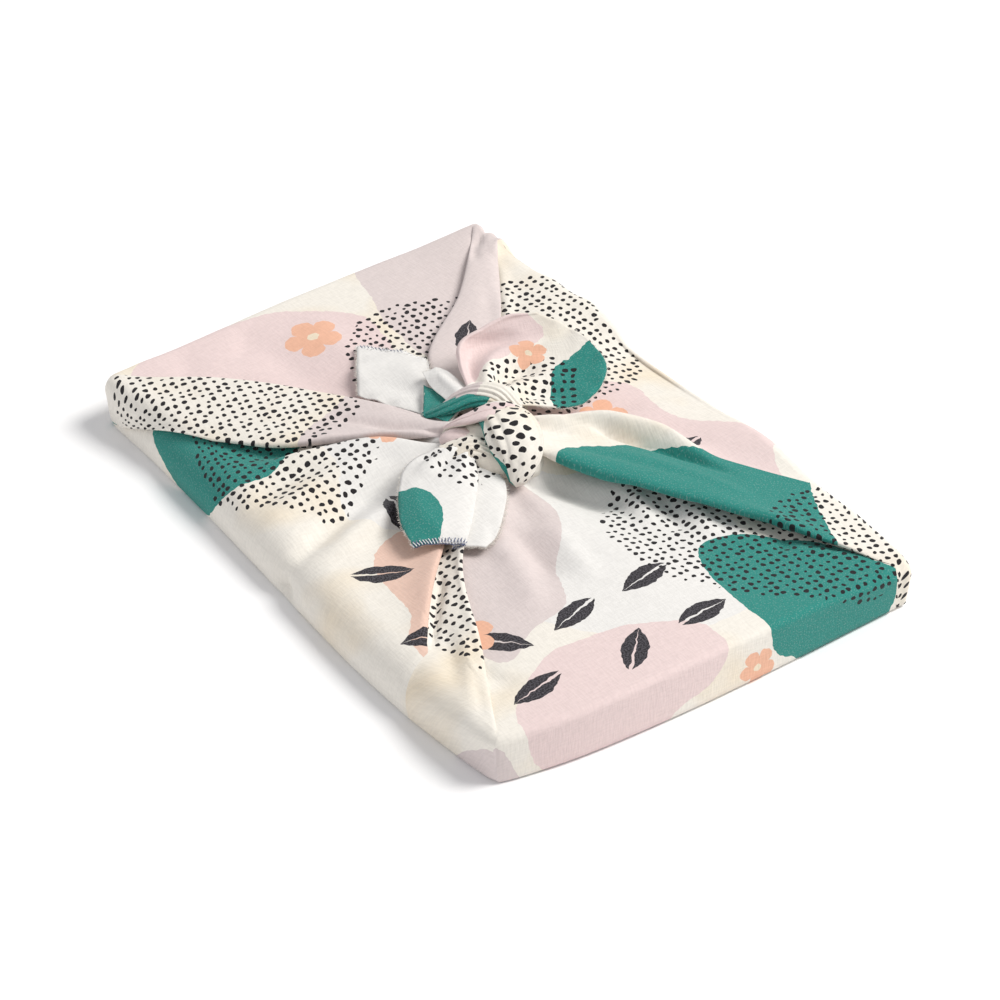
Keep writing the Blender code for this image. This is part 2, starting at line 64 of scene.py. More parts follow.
Lamp = namedtuple("Lamp", "azimuth elevation distance size power colour")
LAMPS = {
    "key": Lamp(154.0, 50.0, 6.0, 3.2, 350.0, "#fffdf9"),  # behind and to the right
    "bounce": Lamp(-15.0, 14.0, 6.0, 4.0, 62.0, "#fdfdff"),  # a white card before the left side
}
SKY_WHITE, SKY_STRENGTH = "#fdfdff", 0.46
FLOOR_SPAN = 6.0
FLOOR_DROP = 0.1 * MM  # so that the cloth and the floor don't flicker through each other
FLOOR_WHITE = "#fbfbfc"


def direction(azimuth, elevation):
    """The unit vector that points from the object toward that azimuth and elevation."""
    a, e = math.radians(azimuth), math.radians(elevation)
    return Vector((math.sin(a) * math.cos(e), -math.cos(a) * math.cos(e), math.sin(e)))


def aim(obj, place, target):
    """Put a camera or a lamp in its place, looking at the target."""
    obj.location = place
    obj.rotation_euler = (Vector(place) - Vector(target)).to_track_quat("Z", "Y").to_euler()


def linked(name, data):
    """A new object in the scene."""
    obj = bpy.data.objects.new(name, data)
    bpy.context.scene.collection.objects.link(obj)
    return obj


def make_camera():
    camera = linked("camera", bpy.data.cameras.new("camera"))
    camera.data.lens = LENS
    camera.data.sensor_width = SENSOR
    camera.data.clip_start = NEAR_CLIP
    back = direction(VIEW_AZIMUTH, VIEW_ELEVATION)
    aim(camera, Vector(VIEW_TARGET) + back * VIEW_DISTANCE, VIEW_TARGET)
    bpy.context.scene.camera = camera


def srgb(text):
    """A hex colour as linear RGBA."""
    parts = [int(text[i : i + 2], 16) / 255 for i in (1, 3, 5)]
    linear = [p / 12.92 if p <= 0.04045 else ((p + 0.055) / 1.055) ** 2.4 for p in parts]
    return (*linear, 1.0)


# Sockets that share their names with others go by number: those of a node that mixes
# colours, and those of one that draws a random direction or number.
MIX_SHARE, MIX_UNDER, MIX_OVER, MIXED = 0, 6, 7, 2
LEAST_WAY, LEAST_NUMBER, MOST_NUMBER, NUMBER = 0, 2, 3, 1


def add(tree, kind, inputs=(), out=0, **settings):
    """A new node with its settings and its inputs, each a value or a socket to link.

    Inputs go by name or number, or stand in a row. What comes back is one of its outputs.
    """
    node = tree.nodes.new(kind if "Node" in kind else "ShaderNode" + kind)
    for name, value in settings.items():
        setattr(node, name, value)
    for name, value in (inputs if isinstance(inputs, dict) else dict(enumerate(inputs))).items():
        if isinstance(value, bpy.types.NodeSocket):
            tree.links.new(value, node.inputs[name])
        else:
            node.inputs[name].default_value = value
    return node.outputs[out]


def new_material(name, finish):
    """A new material whose shader has this finish, and that shader."""
    material = bpy.data.materials.new(name)
    material.use_nodes = True
    shader = material.node_tree.nodes["Principled BSDF"]
    for socket, value in finish.items():
        shader.inputs[socket].default_value = value
    return material, shader


def make_light():
    world = bpy.data.worlds.new("studio")
    bpy.context.scene.world = world
    world.use_nodes = True
    background = world.node_tree.nodes["Background"]
    background.inputs["Color"].default_value = srgb(SKY_WHITE)
    background.inputs["Strength"].default_value = SKY_STRENGTH
    for name, spec in LAMPS.items():
        lamp = bpy.data.lights.new(name, "AREA")
        lamp.shape = "DISK"
        lamp.size = spec.size
        lamp.energy = spec.power
        lamp.color = srgb(spec.colour)[:3]
        aim(linked(name, lamp), direction(spec.azimuth, spec.elevation) * spec.distance, (0, 0, 0))
    bpy.context.scene.view_settings.view_transform = "Standard"


def make_floor():
    """A plain sheet of matt white paper."""
    half = FLOOR_SPAN / 2
    corners = [(x * half, y * half, -FLOOR_DROP) for x, y in ((-1, -1), (1, -1), (1, 1), (-1, 1))]
    mesh = bpy.data.meshes.new("floor")
    mesh.from_pydata(corners, [], [(0, 1, 2, 3)])
    finish = {"Base Color": srgb(FLOOR_WHITE), "Roughness": 0.95, "Specular IOR Level": 0.1}
    mesh.materials.append(new_material("matt_white_paper", finish)[0])
    linked("floor", mesh)


# --------------------------------------------------------------------------------------
# The wrapped body
# --------------------------------------------------------------------------------------

# The parcel: its corners in plan are left, front, right and back, and its sides follow the
# corners in the same order, front-left first. A skew other than 1 moves a side's bow off
# its middle.
CORNERS = ((-147.5, -100.5), (151.5, -101.0), (154.8, 104.4), (-155.5, 97.5))
SIDE_BOW = (6.8, 5.6, 4.4, 4.4)
SIDE_SKEW = (2.2, 0.72, 1.0, 1.6)
CORNER_HEIGHT = (21.5, 21.5, 19.0, 28.0)
SIDE_HEIGHT = (20.5, 24.8, 25.5, 24.8)
EDGE_RADIUS = (15.0, 3.0, 5.0, 6.0)
CORNER_EDGE_RADIUS = 4.0
EDGE_BLEND = 0.22  # share of a side over which its edge takes up its own radius
CORNER_RADIUS = 7.0  # in plan
CROWN_HEIGHT = 23.0
FLOOR_RADIUS = 1.5
TURN_STEP = 0.004  # either way, for the outline's direction at a turn
KNOT_X, KNOT_Y = 5.0, 2.0
TENT_RISE, TENT_REACH = 4.0, 22.0  # the cloth is drawn up round the knot

# How fine the body is: rows from the knot over the edge to the floor, rings under it, and
# columns round it.
TOP_ROWS, ARC_ROWS, SIDE_ROWS = 84, 10, 9
FLOOR_RINGS = 5
FOLD_STEPS = 4  # from one point of a folded edge's section to the next
STEP_WIDTH = 2.6  # of the body's faces, on the row where it is measured
WIDTH_ROW = TOP_ROWS * 2 // 3
LEAST_STEPS = 3

Fold = namedtuple("Fold", "side roll tuck closes")
Rib = namedtuple("Rib", "name knot turn floor bows lifts fold", defaults=(None,))
Patch = namedtuple("Patch", "name kind index ribs")

# A patch of cloth comes over a side of the parcel, or out of the surplus that gathers at a
# corner. Its index is the side's or corner's, from the left corner on, and its ribs are
# what it is lofted through.
#
# A rib goes from the knot over the edge at turn and reaches the floor at floor, where turn
# is 0 at the left corner, 1 at the front, 2 at the right and 3 at the back. Its bows are
# how far it swings sideways a third and two thirds out, and its lifts are heights above the
# bare parcel at the knot, a third out, two thirds out and the edge. A folded edge lies on
# one side of its rib, 1 toward the next rib or -1 toward the one before. It rolls over by
# so much, tucks under by so much, and closes from that share of the rib on.
PATCHES = (
    Patch("left band", "corner", 0, (
        Rib("top", (-20, -3.5), 0.005, -0.024, (-10.1, -11.3), (9, 5, 3.6, 2.6), Fold(-1, 1.1, 3, 0.62)),
        Rib("crown", (-18.5, -6.5), 0.07, -0.012, (-2.5, -3), (11, 6.8, 5.2, 3.4)),
        Rib("shoulder", (-17.2, -9.5), 0.15, -0.002, (0.8, 1.5), (10.5, 6.6, 5, 2.8)),
        Rib("edge", (-16.5, -12), 0.224, 0.014, (0.6, 6.2), (7.5, 5, 4, 1.6), Fold(1, 2, 14, 1.08)),
    )),
    Patch("front-left", "side", 0, (
        Rib("valley", (-14.2, -13.8), 0.262, 0.13, (-3.3, 0), (3, 0.2, -0.9, -0.4)),
        Rib("ridge", (-12, -15.5), 0.307, 0.30, (-8, -5), (7.5, 6, 4, 1.2)),
        Rib("slope", (-7, -18), 0.44, 0.44, (-1, 0), (4.5, 2, 1.2, 0.3)),
        Rib("furrow", (-1, -19), 0.56, 0.56, (2.7, 2.7), (1.5, -1, -0.6, 0)),
        Rib("flat", (5, -19.5), 0.68, 0.70, (0, 0), (3, 1.2, 0.6, 0)),
        Rib("slit lip", (10, -19), 0.794, 0.819, (-1.4, -2.3), (6, 3.4, 2.2, 0.6), Fold(1, 0.8, 5, 0.66)),
    )),
    Patch("front strip", "corner", 1, (
        Rib("middle", (13, -17.5), 0.90, 0.925, (-5.5, -3), (4.5, 2.4, 1.8, 1)),
        Rib("edge", (17, -14), 0.984, 0.987, (-9.9, -4), (5, 2.6, 1.9, 1.2), Fold(1, 0.8, 3.6, 0.80)),
    )),
    Patch("front-right", "side", 1, (
        Rib("rise", (19.5, -11), 1.16, 1.14, (-4.5, -4.5), (3.5, 0.6, 0.2, 0)),
        Rib("hollow", (21, -7), 1.36, 1.36, (-2.7, -2.7), (1, -1.2, -0.3, 0)),
        Rib("middle", (21.5, -2), 1.56, 1.56, (0, 0), (1, 0.2, 0.2, 0)),
        Rib("under band", (20.5, 3), 1.78, 1.78, (0, 0), (0.5, -2, -0.6, 0)),
    )),
    Patch("right band", "corner", 2, (
        Rib("edge", (14.9, 7.2), 1.951, 1.956, (0.1, 1.4), (12, 8, 5.6, 1.8), Fold(-1, 1.8, 20, 0.72)),
        Rib("face", (14.5, 12), 1.98, 1.98, (6.5, 5.5), (13, 9.6, 6.6, 2.9)),
        Rib("crease", (6, 21), 2.11, 2.11, (12.7, 4), (9, 5.4, 4.4, 2.4)),
    )),
    Patch("back-right", "side", 2, (
        Rib("shoulder", (2, 22.5), 2.21, 2.20, (17, 6), (12, 7.5, 3, 0.8)),
        Rib("fall", (-1, 22.8), 2.32, 2.32, (12, 3), (7, 2.4, 1.4, 3.4)),
        Rib("top", (-4, 22), 2.43, 2.43, (6, 3), (5.5, 1.8, 0, -2.2)),
        Rib("middle", (-7, 20.5), 2.59, 2.59, (3, 3), (5, 1.4, -0.8, -5.4)),
        Rib("flat", (-9.5, 18.5), 2.745, 2.745, (1.2, 1.2), (4, 1, 1.2, 2)),
    )),
    Patch("back fold", "corner", 3, (
        Rib("crease", (-11, 15.5), 2.914, 2.93, (0.4, -1.1), (5, 3.4, 2.8, 2.8), Fold(-1, 0.7, 4, 0.80)),
        Rib("crown", (-12.5, 10), 2.945, 2.96, (9.5, 3.5), (7, 5.4, 4.6, 4.8)),
        Rib("left edge", (-14, 3.5), 2.968, 2.987, (20.4, 6.7), (6, 3.6, 2.8, 3.8), Fold(1, 1.4, 8, 0.74)),
    )),
    Patch("back-left", "side", 3, (
        Rib("lap", (-17.5, 3), 3.16, 3.17, (12, 8), (3.5, 0.8, 0.3, 0)),
        Rib("middle", (-19.4, 1.5), 3.48, 3.48, (0, 0), (3, 0.4, 0.2, 0)),
        Rib("dip", (-20.2, -1), 3.76, 3.76, (-8.9, -8.9), (3, 0.4, -0.3, 0)),
    )),
)
STATIONS = (0.0, 0.33, 0.67, 1.0)  # of a rib's lifts, from the knot to the edge
FOLD_OPENS_OVER = 0.12  # of a rib, from the knot
FOLD_END = 1.2  # the floor, where 1 is the parcel's edge
FOLD_CLOSES_OVER = 0.75  # of what is left of the rib from where a fold starts to close

# A folded edge's section, along the cloth from its top to the panel beneath.
FoldPoint = namedtuple("FoldPoint", "rolls_in tucks_in rolls_up lifted")
FOLD_SECTION = (
    FoldPoint(1.5, 0.0, 1.3, 1.0),
    FoldPoint(0.35, 0.0, 0.8, 1.0),
    FoldPoint(0.0, 0.0, 0.0, 1.0),
    FoldPoint(0.5, 0.0, -0.8, 1.0),
    FoldPoint(0.0, 0.75, 0.0, 0.45),
    FoldPoint(0.0, 1.0, 0.0, 0.25),
    FoldPoint(0.0, 0.8, 0.0, 0.06),
    FoldPoint(0.0, 0.3, 0.0, 0.0),
)
FOLD_EDGE = 2  # the point that lies on the rib itself
FOLD_DEEPEST = 5  # the cloth beyond this point belongs to the next patch
FOLD_END_PITCH = 0.6  # between the section's points where the fold is closed
ROLL_SHARE = 0.4  # the most that a fold rolls over, as a share of its lift
LEAST_CHORD = 1e-6  # so that lines which touch can still be divided by

# Soft creases of the drawn cloth, pressed into the body along short paths. left and right
# are how far each flank reaches, seen along the path, and height is below 0 for a trough.
Crease = namedtuple("Crease", "name left right height path")
CREASES = (
    Crease("front-left long ridge", 9, 3.5, 2.2, (
        (-16, -14, 32), (-31, -31, 31), (-44, -50, 29), (-50, -70, 26), (-52, -84, 22),
    )),
    Crease("front-left valley", 6, 4.2, -4.8, (
        (-10, -20, 24), (-11, -44, 21), (-9, -60, 20), (-4, -76, 19), (3, -94, 18), (5, -108, 0),
        (6, -110, -22),
    )),
    Crease("front-left second ridge", 6, 5, 2.6, (
        (-20, -34, 26), (-25, -50, 25), (-26, -64, 24), (-24, -80, 23), (-22, -100, 18),
    )),
    Crease("front-left second valley", 5, 5, -1.6, (
        (-36, -56, 27), (-38, -72, 24), (-36, -86, 22), (-33, -100, 18),
    )),
    Crease("beside the slit", 4.5, 6, 4.4, (
        (0, -24, 24), (5, -45, 22), (7, -62, 21), (12, -78, 20), (17, -98, 16),
    )),
    Crease("slit gap", 1.8, 1.8, -3.2, (
        (50, -58, 22), (59, -64, 22), (69, -73, 21), (81, -83, 21), (92, -90, 21),
    )),
    Crease("lip ridge", 2.5, 7, 1.6, ((40, -50, 28), (56, -66, 27), (72, -80, 26), (88, -94, 24))),
    Crease("lip valley", 3.5, 4.5, -1.4, ((70, -72, 21), (87, -80, 21), (100, -86, 21), (117, -95, 22))),
    Crease("strip second edge", 1.6, 6, 2.0, (
        (84, -71, 24), (93, -76, 25), (110, -84, 25), (121, -92, 24), (137, -102, 21),
    )),
    Crease("strip ridge", 2.4, 2.4, 0.6, ((76, -63, 25), (98, -74, 24), (118, -85, 23), (140, -97, 20))),
    Crease("strip second ridge", 1.8, 2.2, 0.9, ((40, -38, 27), (56, -50, 25), (74, -58, 24))),
    Crease("beside the strip", 3, 6, -1.5, ((106, -78, 25), (116, -80, 22), (122, -77, 21), (131, -75, 22))),
    Crease("strip dimple", 5, 4, -1.6, ((44, -46, 22), (48, -42, 21), (54, -39, 20), (66, -37, 21))),
    Crease("front-right ridge", 5, 6, 2.2, ((44, -8, 22), (62, -7, 23), (80, -10, 23), (96, -12, 23))),
    Crease("front-right hollow", 5, 4.5, -2.4, (
        (36, -16, 21), (42, -23, 21), (52, -20, 21), (69, -22, 21), (86, -26, 22),
    )),
    Crease("front-right swell", 5, 7, 2.4, (
        (40, -32, 22), (52, -30, 22), (68, -32, 22), (86, -38, 22), (100, -46, 22),
    )),
    Crease("pocket", 8, 7, -5.5, ((14, 1, 28), (22, 8, 26), (32, 15, 25), (45, 22, 24), (60, 32, 23))),
    Crease("under the band, 1", 3, 4, -1.8, ((43, 34, 20), (53, 31, 20), (66, 25, 21))),
    Crease("under the band, 2", 3.5, 3.5, 1.8, ((50, 39, 22), (61, 35, 22), (76, 29, 21))),
    Crease("under the band, 3", 3, 4, -2.0, ((59, 48, 21), (71, 44, 20), (88, 38, 21))),
    Crease("under the band, 4", 4, 4, 1.6, ((72, 54, 22), (83, 50, 22), (96, 46, 21))),
    Crease("under the band, 5", 3, 4, -1.5, ((106, 74, 22), (112, 70, 22), (120, 66, 21))),
    Crease("band's second fold", 2.5, 5, 1.2, (
        (90, 62, 30), (106, 70, 28), (121, 74, 24), (134, 83, 24), (148, 92, 22),
    )),
    Crease("between band and shoulder", 2.2, 2.6, -5.4, (
        (-8, 8, 37), (-1, 21, 34), (5, 32, 32), (13, 45, 30), (34, 58, 29), (53, 70, 28), (78, 80, 27),
    )),
    Crease("right corner pucker", 3, 3, -0.9, ((146, 91, 21), (151, 92, 13), (152, 88, 3))),
    Crease("left band pleat 1", 1.8, 2.8, -1.7, (
        (-24, -14, 34), (-36, -26, 31), (-48, -34, 30), (-62, -44, 28),
    )),
    Crease("left band pleat 2", 1.5, 2.2, -1.4, ((-20, -12, 34), (-32, -25, 32), (-44, -36, 30))),
    Crease("left band pleat 3", 1.4, 2.0, -0.9, ((-21, -6, 34), (-34, -12, 32), (-48, -20, 31))),
    Crease("left band crown light", 4, 5, 0.5, ((-24, -6, 33), (-60, -26, 29), (-100, -54, 26))),
    Crease("left band end", 3, 4, -1.0, ((-108, -72, 27), (-119, -84, 27), (-124, -95, 25))),
    Crease("right band pleat 1", 1.8, 3.2, -1.1, ((16, 20, 35), (30, 33, 32), (48, 45, 30), (70, 61, 28))),
    Crease("right band pleat 2", 2.5, 3.0, 1.2, ((24, 38, 30), (44, 50, 31), (64, 62, 30), (92, 74, 27))),
    Crease("back-right shoulder fold", 6, 4, 4.6, (
        (-12, 8, 38), (4, 30, 35), (14, 52, 33), (34, 68, 30), (58, 80, 27),
    )),
    Crease("back-right trough", 5, 5, -1.4, ((-3, 30, 29), (-4, 56, 24), (8, 80, 24))),
    Crease("back-right swell", 7, 7, 0.9, ((-22, 40, 27), (-34, 64, 25), (-44, 88, 24))),
    Crease("back fold wrinkle 1", 2.2, 3.2, -1.6, ((-36, 30, 29), (-74, 52, 28), (-112, 78, 31))),
    Crease("back fold wrinkle 2", 2.5, 2.5, 1.4, (
        (-40, 38, 25), (-72, 62, 26), (-108, 84, 28), (-134, 96, 31),
    )),
    Crease("back corner lump 1", 2.6, 2.6, 0.5, ((-138, 92, 32), (-147, 97, 31), (-153, 99, 24))),
    Crease("back corner lump 2", 3.0, 2.6, 2.2, ((-118, 86, 31), (-127, 94, 31), (-131, 101, 28))),
    Crease("back fold right valley", 2.2, 2.2, -2.0, ((-84, 67, 30), (-108, 83, 31), (-129, 96, 31))),
    Crease("back fold wedge valley", 2.2, 2.2, -1.8, ((-118, 76, 32), (-132, 85, 32), (-144, 92, 32))),
    Crease("back corner notch", 2.0, 2.0, -3.2, (
        (-128, 84, 32), (-137, 92, 32), (-142, 99, 30), (-143, 103, 22),
    )),
    Crease("back edge dip", 5, 5, -3.6, ((-128, 100, 30), (-116, 101, 29), (-104, 102, 27), (-94, 102, 26))),
    Crease("back edge rise", 7, 7, 3.0, ((-80, 101, 25), (-64, 102, 24), (-52, 102, 24), (-36, 102, 24))),
    Crease("back-left dimple 1", 5, 5, -1.2, ((-124, -46, 24), (-134, -36, 25), (-148, -28, 24))),
    Crease("back-left dimple 2", 5, 5, -1.1, ((-124, -74, 24), (-134, -66, 25), (-150, -62, 22))),
    Crease("back-left long hollow", 8, 9, -1.6, (
        (-146, -33, 23), (-121, -30, 21), (-94, -28, 21), (-70, -18, 23),
    )),
    Crease("back-left long swell", 9, 9, 1.8, ((-140, -4, 25), (-112, -6, 25), (-84, -4, 25), (-56, 4, 25))),
    Crease("left corner fold", 2.5, 3, 0.8, ((-140, -92, 24), (-147, -99, 16), (-145, -101, 4))),
)
CREASE_TAPER = 0.3  # share of a crease's length over which each end runs out

# Short pulls that fan out from the knot: direction in plan, how far they reach, height.
Pull = namedtuple("Pull", "angle reach height")
PULLS = (
    Pull(-158, 40, 0.8), Pull(-139, 52, -0.6), Pull(-118, 44, 0.6), Pull(-97, 54, -0.5),
    Pull(-70, 50, 0.5), Pull(-32, 62, 0.6), Pull(-18, 54, -0.6), Pull(-6, 66, 0.5),
    Pull(8, 56, -0.5), Pull(98, 46, 0.5), Pull(116, 44, -0.6), Pull(171, 52, 0.5),
    Pull(186, 44, -0.5),
)
PULL_START, PULL_WIDTH, PULL_HEIGHT_AT = 19.0, 3.2, 26.0

# Slack cloth swells and dips a little everywhere, at several pitches at once.
UnevenStep = namedtuple("UnevenStep", "pitch height")
UNEVEN = (UnevenStep(42.0, 0.55), UnevenStep(16.0, 0.22), UnevenStep(6.5, 0.05))


def smooth(t):
    """A 0 to 1 ramp with level ends."""
    t = np.clip(t, 0.0, 1.0)
    return t * t * (3.0 - 2.0 * t)


def unit(vectors):
    """The same directions, each 1 long."""
    return vectors / np.linalg.norm(vectors, axis=-1, keepdims=True)


def distance_along(points):
    """How far along their line each of the points lies."""
    return np.concatenate(((0.0,), np.cumsum(np.linalg.norm(np.diff(points, axis=0), axis=1))))


def right_of(run):
    """The unit vector in plan to the right of a run."""
    return np.array((run[1], -run[0])) / np.linalg.norm(run)


def on_side(turn):
    """The side of the parcel that a turn lies on, and its share of the way along it."""
    side = math.floor(turn)
    return side % 4, turn - side


def around(turn, at_corners, at_sides):
    """A value that swings between the corners' and the sides' values round the outline."""
    side, along = on_side(turn)
    ends = (1.0 - along) * at_corners[side] + along * at_corners[(side + 1) % 4]
    middle = 0.5 * (at_corners[side] + at_corners[(side + 1) % 4])
    return ends + (at_sides[side] - middle) * math.sin(math.pi * along)


def side_length(side):
    """A side's length from corner to corner."""
    return math.dist(CORNERS[side % 4], CORNERS[(side + 1) % 4])


def side_point(turn):
    """A point of the outline with sharp corners."""
    side, along = on_side(turn)
    start = np.array(CORNERS[side])
    run = np.array(CORNERS[(side + 1) % 4]) - start
    bow = SIDE_BOW[side] * math.sin(math.pi * along ** SIDE_SKEW[side])
    return start + run * along + right_of(run) * bow


def outline(turn):
    """A point of the outline with its corners rounded."""
    corner = round(turn)
    reach = CORNER_RADIUS / side_length(math.floor(turn))
    if abs(turn - corner) >= reach:
        return side_point(turn)
    t = 0.5 + 0.5 * (turn - corner) / reach
    before = side_point(corner - CORNER_RADIUS / side_length(corner - 1))
    after = side_point(corner + CORNER_RADIUS / side_length(corner))
    return (1 - t) ** 2 * before + 2 * t * (1 - t) * side_point(corner) + t * t * after


def outward(turn):
    """The outline's unit normal in plan."""
    return right_of(outline(turn + TURN_STEP) - outline(turn - TURN_STEP))


def edge_radius(turn):
    """The rounding of the parcel's top edge."""
    side, along = on_side(turn)
    blend = float(smooth(min(along, 1.0 - along) / EDGE_BLEND))
    return CORNER_EDGE_RADIUS + (EDGE_RADIUS[side] - CORNER_EDGE_RADIUS) * blend


def hermite(a, b, slope_a, slope_b, t):
    """A point of the cubic from a to b with the given slopes at its ends."""
    bend = 2 * t**3 - 3 * t**2
    return (bend + 1) * a + (t**3 - 2 * t**2 + t) * slope_a - bend * b + (t**3 - t**2) * slope_b


def through(rows, steps):
    """Rows of numbers along an open spline through the given ones."""
    rows = np.array(rows, float)
    slopes = np.gradient(rows, axis=0)
    filled = [
        hermite(rows[i], rows[i + 1], slopes[i], slopes[i + 1], k / steps)
        for i in range(len(rows) - 1)
        for k in range(steps)
    ]
    return np.array(filled + [rows[-1]])


def between_stations(values):
    """A rib's four values spread over the rows from the knot to the edge."""
    slopes = np.gradient(np.array(values), STATIONS)
    filled = []
    for v in np.linspace(0.0, 1.0, TOP_ROWS + 1):
        k = min(np.searchsorted(STATIONS, v, side="right") - 1, len(values) - 2)
        span = STATIONS[k + 1] - STATIONS[k]
        t = (v - STATIONS[k]) / span
        filled.append(hermite(values[k], values[k + 1], slopes[k] * span, slopes[k + 1] * span, t))
    return np.array(filled)


def rib_over_top(rib, height, radius):
    """A rib's points and normals from the knot to where the parcel's edge turns down."""
    start, end = np.array(rib.knot), outline(rib.turn) - outward(rib.turn) * radius
    run = end - start
    bows = between_stations((0.0, *rib.bows, 0.0))
    for v, bow in zip(np.linspace(0.0, 1.0, TOP_ROWS + 1), bows):
        plan = start + run * v - right_of(run) * bow
        z = CROWN_HEIGHT + (height - CROWN_HEIGHT) * float(smooth(v))
        reach = math.dist(plan, (KNOT_X, KNOT_Y))
        z += TENT_RISE * math.exp(-((reach / TENT_REACH) ** 2))
        yield (*plan, z), (0.0, 0.0, 1.0)


def rib_down_side(rib, height, radius):
    """Its points and normals round the edge, down the parcel's side and onto the floor."""
    arc = 0.5 * math.pi * radius
    descent = arc + height - radius
    for k in range(1, ARC_ROWS + 1):
        angle = 0.5 * math.pi * k / ARC_ROWS
        at = rib.turn + (rib.floor - rib.turn) * arc / descent * k / ARC_ROWS
        out = outward(at)
        plan = outline(at) - out * radius * (1.0 - math.sin(angle))
        z = height - radius * (1.0 - math.cos(angle))
        yield (*plan, z), (*(out * math.sin(angle)), math.cos(angle))
    for k in range(1, SIDE_ROWS + 1):
        t = k / SIDE_ROWS
        at = rib.floor + (rib.turn - rib.floor) * (1.0 - arc / descent) * (1.0 - t)
        z = (height - radius) * (1.0 - t) + FLOOR_RADIUS * t
        yield (*outline(at), z), (*outward(at), 0.0)
    plan = outline(rib.floor) - outward(rib.floor) * FLOOR_RADIUS
    yield (*plan, 0.0), (*outward(rib.floor), 0.0)


def rib_path(rib):
    """The rib on the bare parcel, and its surface's normal and sideways direction."""
    height = around(rib.turn % 4, CORNER_HEIGHT, SIDE_HEIGHT)
    radius = edge_radius(rib.turn % 4)
    rows = (*rib_over_top(rib, height, radius), *rib_down_side(rib, height, radius))
    points, normals = (np.array(column) for column in zip(*rows))
    across = np.cross(normals, np.gradient(points, axis=0))
    across[:, 2] = 0.0
    return points, normals, unit(across)


def along_rib(values):
    """A rib's four lifts spread over all its rows, fading to nothing at the floor."""
    down = np.linspace(1.0, 0.0, ARC_ROWS + SIDE_ROWS + 2)[1:]
    return np.concatenate((between_stations(values), values[3] * down))


def openness(closes):
    """How far a fold stands open on each row: closed at the knot and on the parcel's side."""
    top = np.linspace(0.0, 1.0, TOP_ROWS + 1)
    down = np.linspace(1.0, FOLD_END, ARC_ROWS + SIDE_ROWS + 2)[1:]
    v = np.concatenate((top, down))
    closed = smooth((v - closes) / ((FOLD_END - closes) * FOLD_CLOSES_OVER))
    return smooth(v / FOLD_OPENS_OVER) * (1.0 - closed)


Line = namedtuple("Line", "points normals patch steps")


def rib_lines(rib, patch, patch_before, patch_after):
    """The rib's lines, one for a plain rib and one for each point of a folded edge."""
    points, normals, across = rib_path(rib)
    lift = along_rib(rib.lifts)[:, None]
    if rib.fold is None:
        return [Line(points + normals * lift, normals, patch, None)]
    fold, wide = rib.fold, openness(rib.fold.closes)[:, None]
    roll = np.minimum(fold.roll, ROLL_SHARE * lift)
    lines = []
    for k, p in enumerate(FOLD_SECTION):
        back = p.rolls_in * roll + p.tucks_in * fold.tuck
        run_out = (k - FOLD_EDGE) * FOLD_END_PITCH
        shift = fold.side * ((1.0 - wide) * run_out - wide * back)
        up = lift * (1.0 - wide + wide * p.lifted) + p.rolls_up * roll * wide
        moved = points + normals * up + across * shift
        beyond = patch_after if fold.side > 0 else patch_before
        own = k < FOLD_DEEPEST if fold.side > 0 else k <= FOLD_DEEPEST
        lines.append(Line(moved, normals, patch if own else beyond, FOLD_STEPS))
    if fold.side < 0:
        lines.reverse()
    lines[-1] = lines[-1]._replace(steps=None)
    return lines


def chord(a, b):
    """The centripetal length between two lines, row by row."""
    return np.sqrt(np.linalg.norm(b - a, axis=1, keepdims=True)) + LEAST_CHORD


def span_steps(line, after):
    """How many columns fill the span between two lines."""
    if line.steps:
        return line.steps
    width = np.linalg.norm(after.points[WIDTH_ROW] - line.points[WIDTH_ROW])
    return max(LEAST_STEPS, math.ceil(width / STEP_WIDTH))


def body_columns():
    """Columns of points and normals round the body, and each column's patch of cloth."""
    ribs = [(patch, rib) for patch in PATCHES for rib in patch.ribs]
    lines = []
    for i, (patch, rib) in enumerate(ribs):
        lines += rib_lines(rib, patch, ribs[i - 1][0], ribs[(i + 1) % len(ribs)][0])
    n = len(lines)
    points, normals, patches = [], [], []
    for i, line in enumerate(lines):
        before, a, b, after = (lines[(i + k) % n].points for k in (-1, 0, 1, 2))
        c0, c1, c2 = chord(before, a), chord(a, b), chord(b, after)
        slope_a = c1 * ((a - before) / c0 - (b - before) / (c0 + c1) + (b - a) / c1)
        slope_b = c1 * ((b - a) / c1 - (after - a) / (c1 + c2) + (after - b) / c2)
        following = lines[(i + 1) % n]
        steps = span_steps(line, following)
        for k in range(steps):
            t = k / steps
            points.append(hermite(a, b, slope_a, slope_b, t))
            normals.append(line.normals * (1 - t) + following.normals * t)
            patches.append(line.patch)
    return np.array(points), np.array(normals), patches


def crease_height(points, crease):
    """The crease's height at each of the points."""
    path = np.array(crease.path, float)
    runs = np.diff(path, axis=0)
    lengths = np.linalg.norm(runs, axis=1)
    total = lengths.sum()
    nearest = np.full(points.shape[:-1], np.inf)
    height = np.zeros(points.shape[:-1])
    for k, (start, run, length) in enumerate(zip(path, runs, lengths)):
        offset = points - start
        t = np.clip(offset @ run / length**2, 0.0, 1.0)
        away = np.linalg.norm(offset - t[..., None] * run, axis=-1)
        on_left = run[0] * offset[..., 1] - run[1] * offset[..., 0] > 0
        flank = np.where(on_left, crease.left, crease.right)
        share = (lengths[:k].sum() + t * length) / total
        taper = smooth(share / CREASE_TAPER) * smooth((1.0 - share) / CREASE_TAPER)
        here = crease.height * taper * np.exp(-((away / flank) ** 2))
        height = np.where(away < nearest, here, height)
        nearest = np.minimum(nearest, away)
    return height


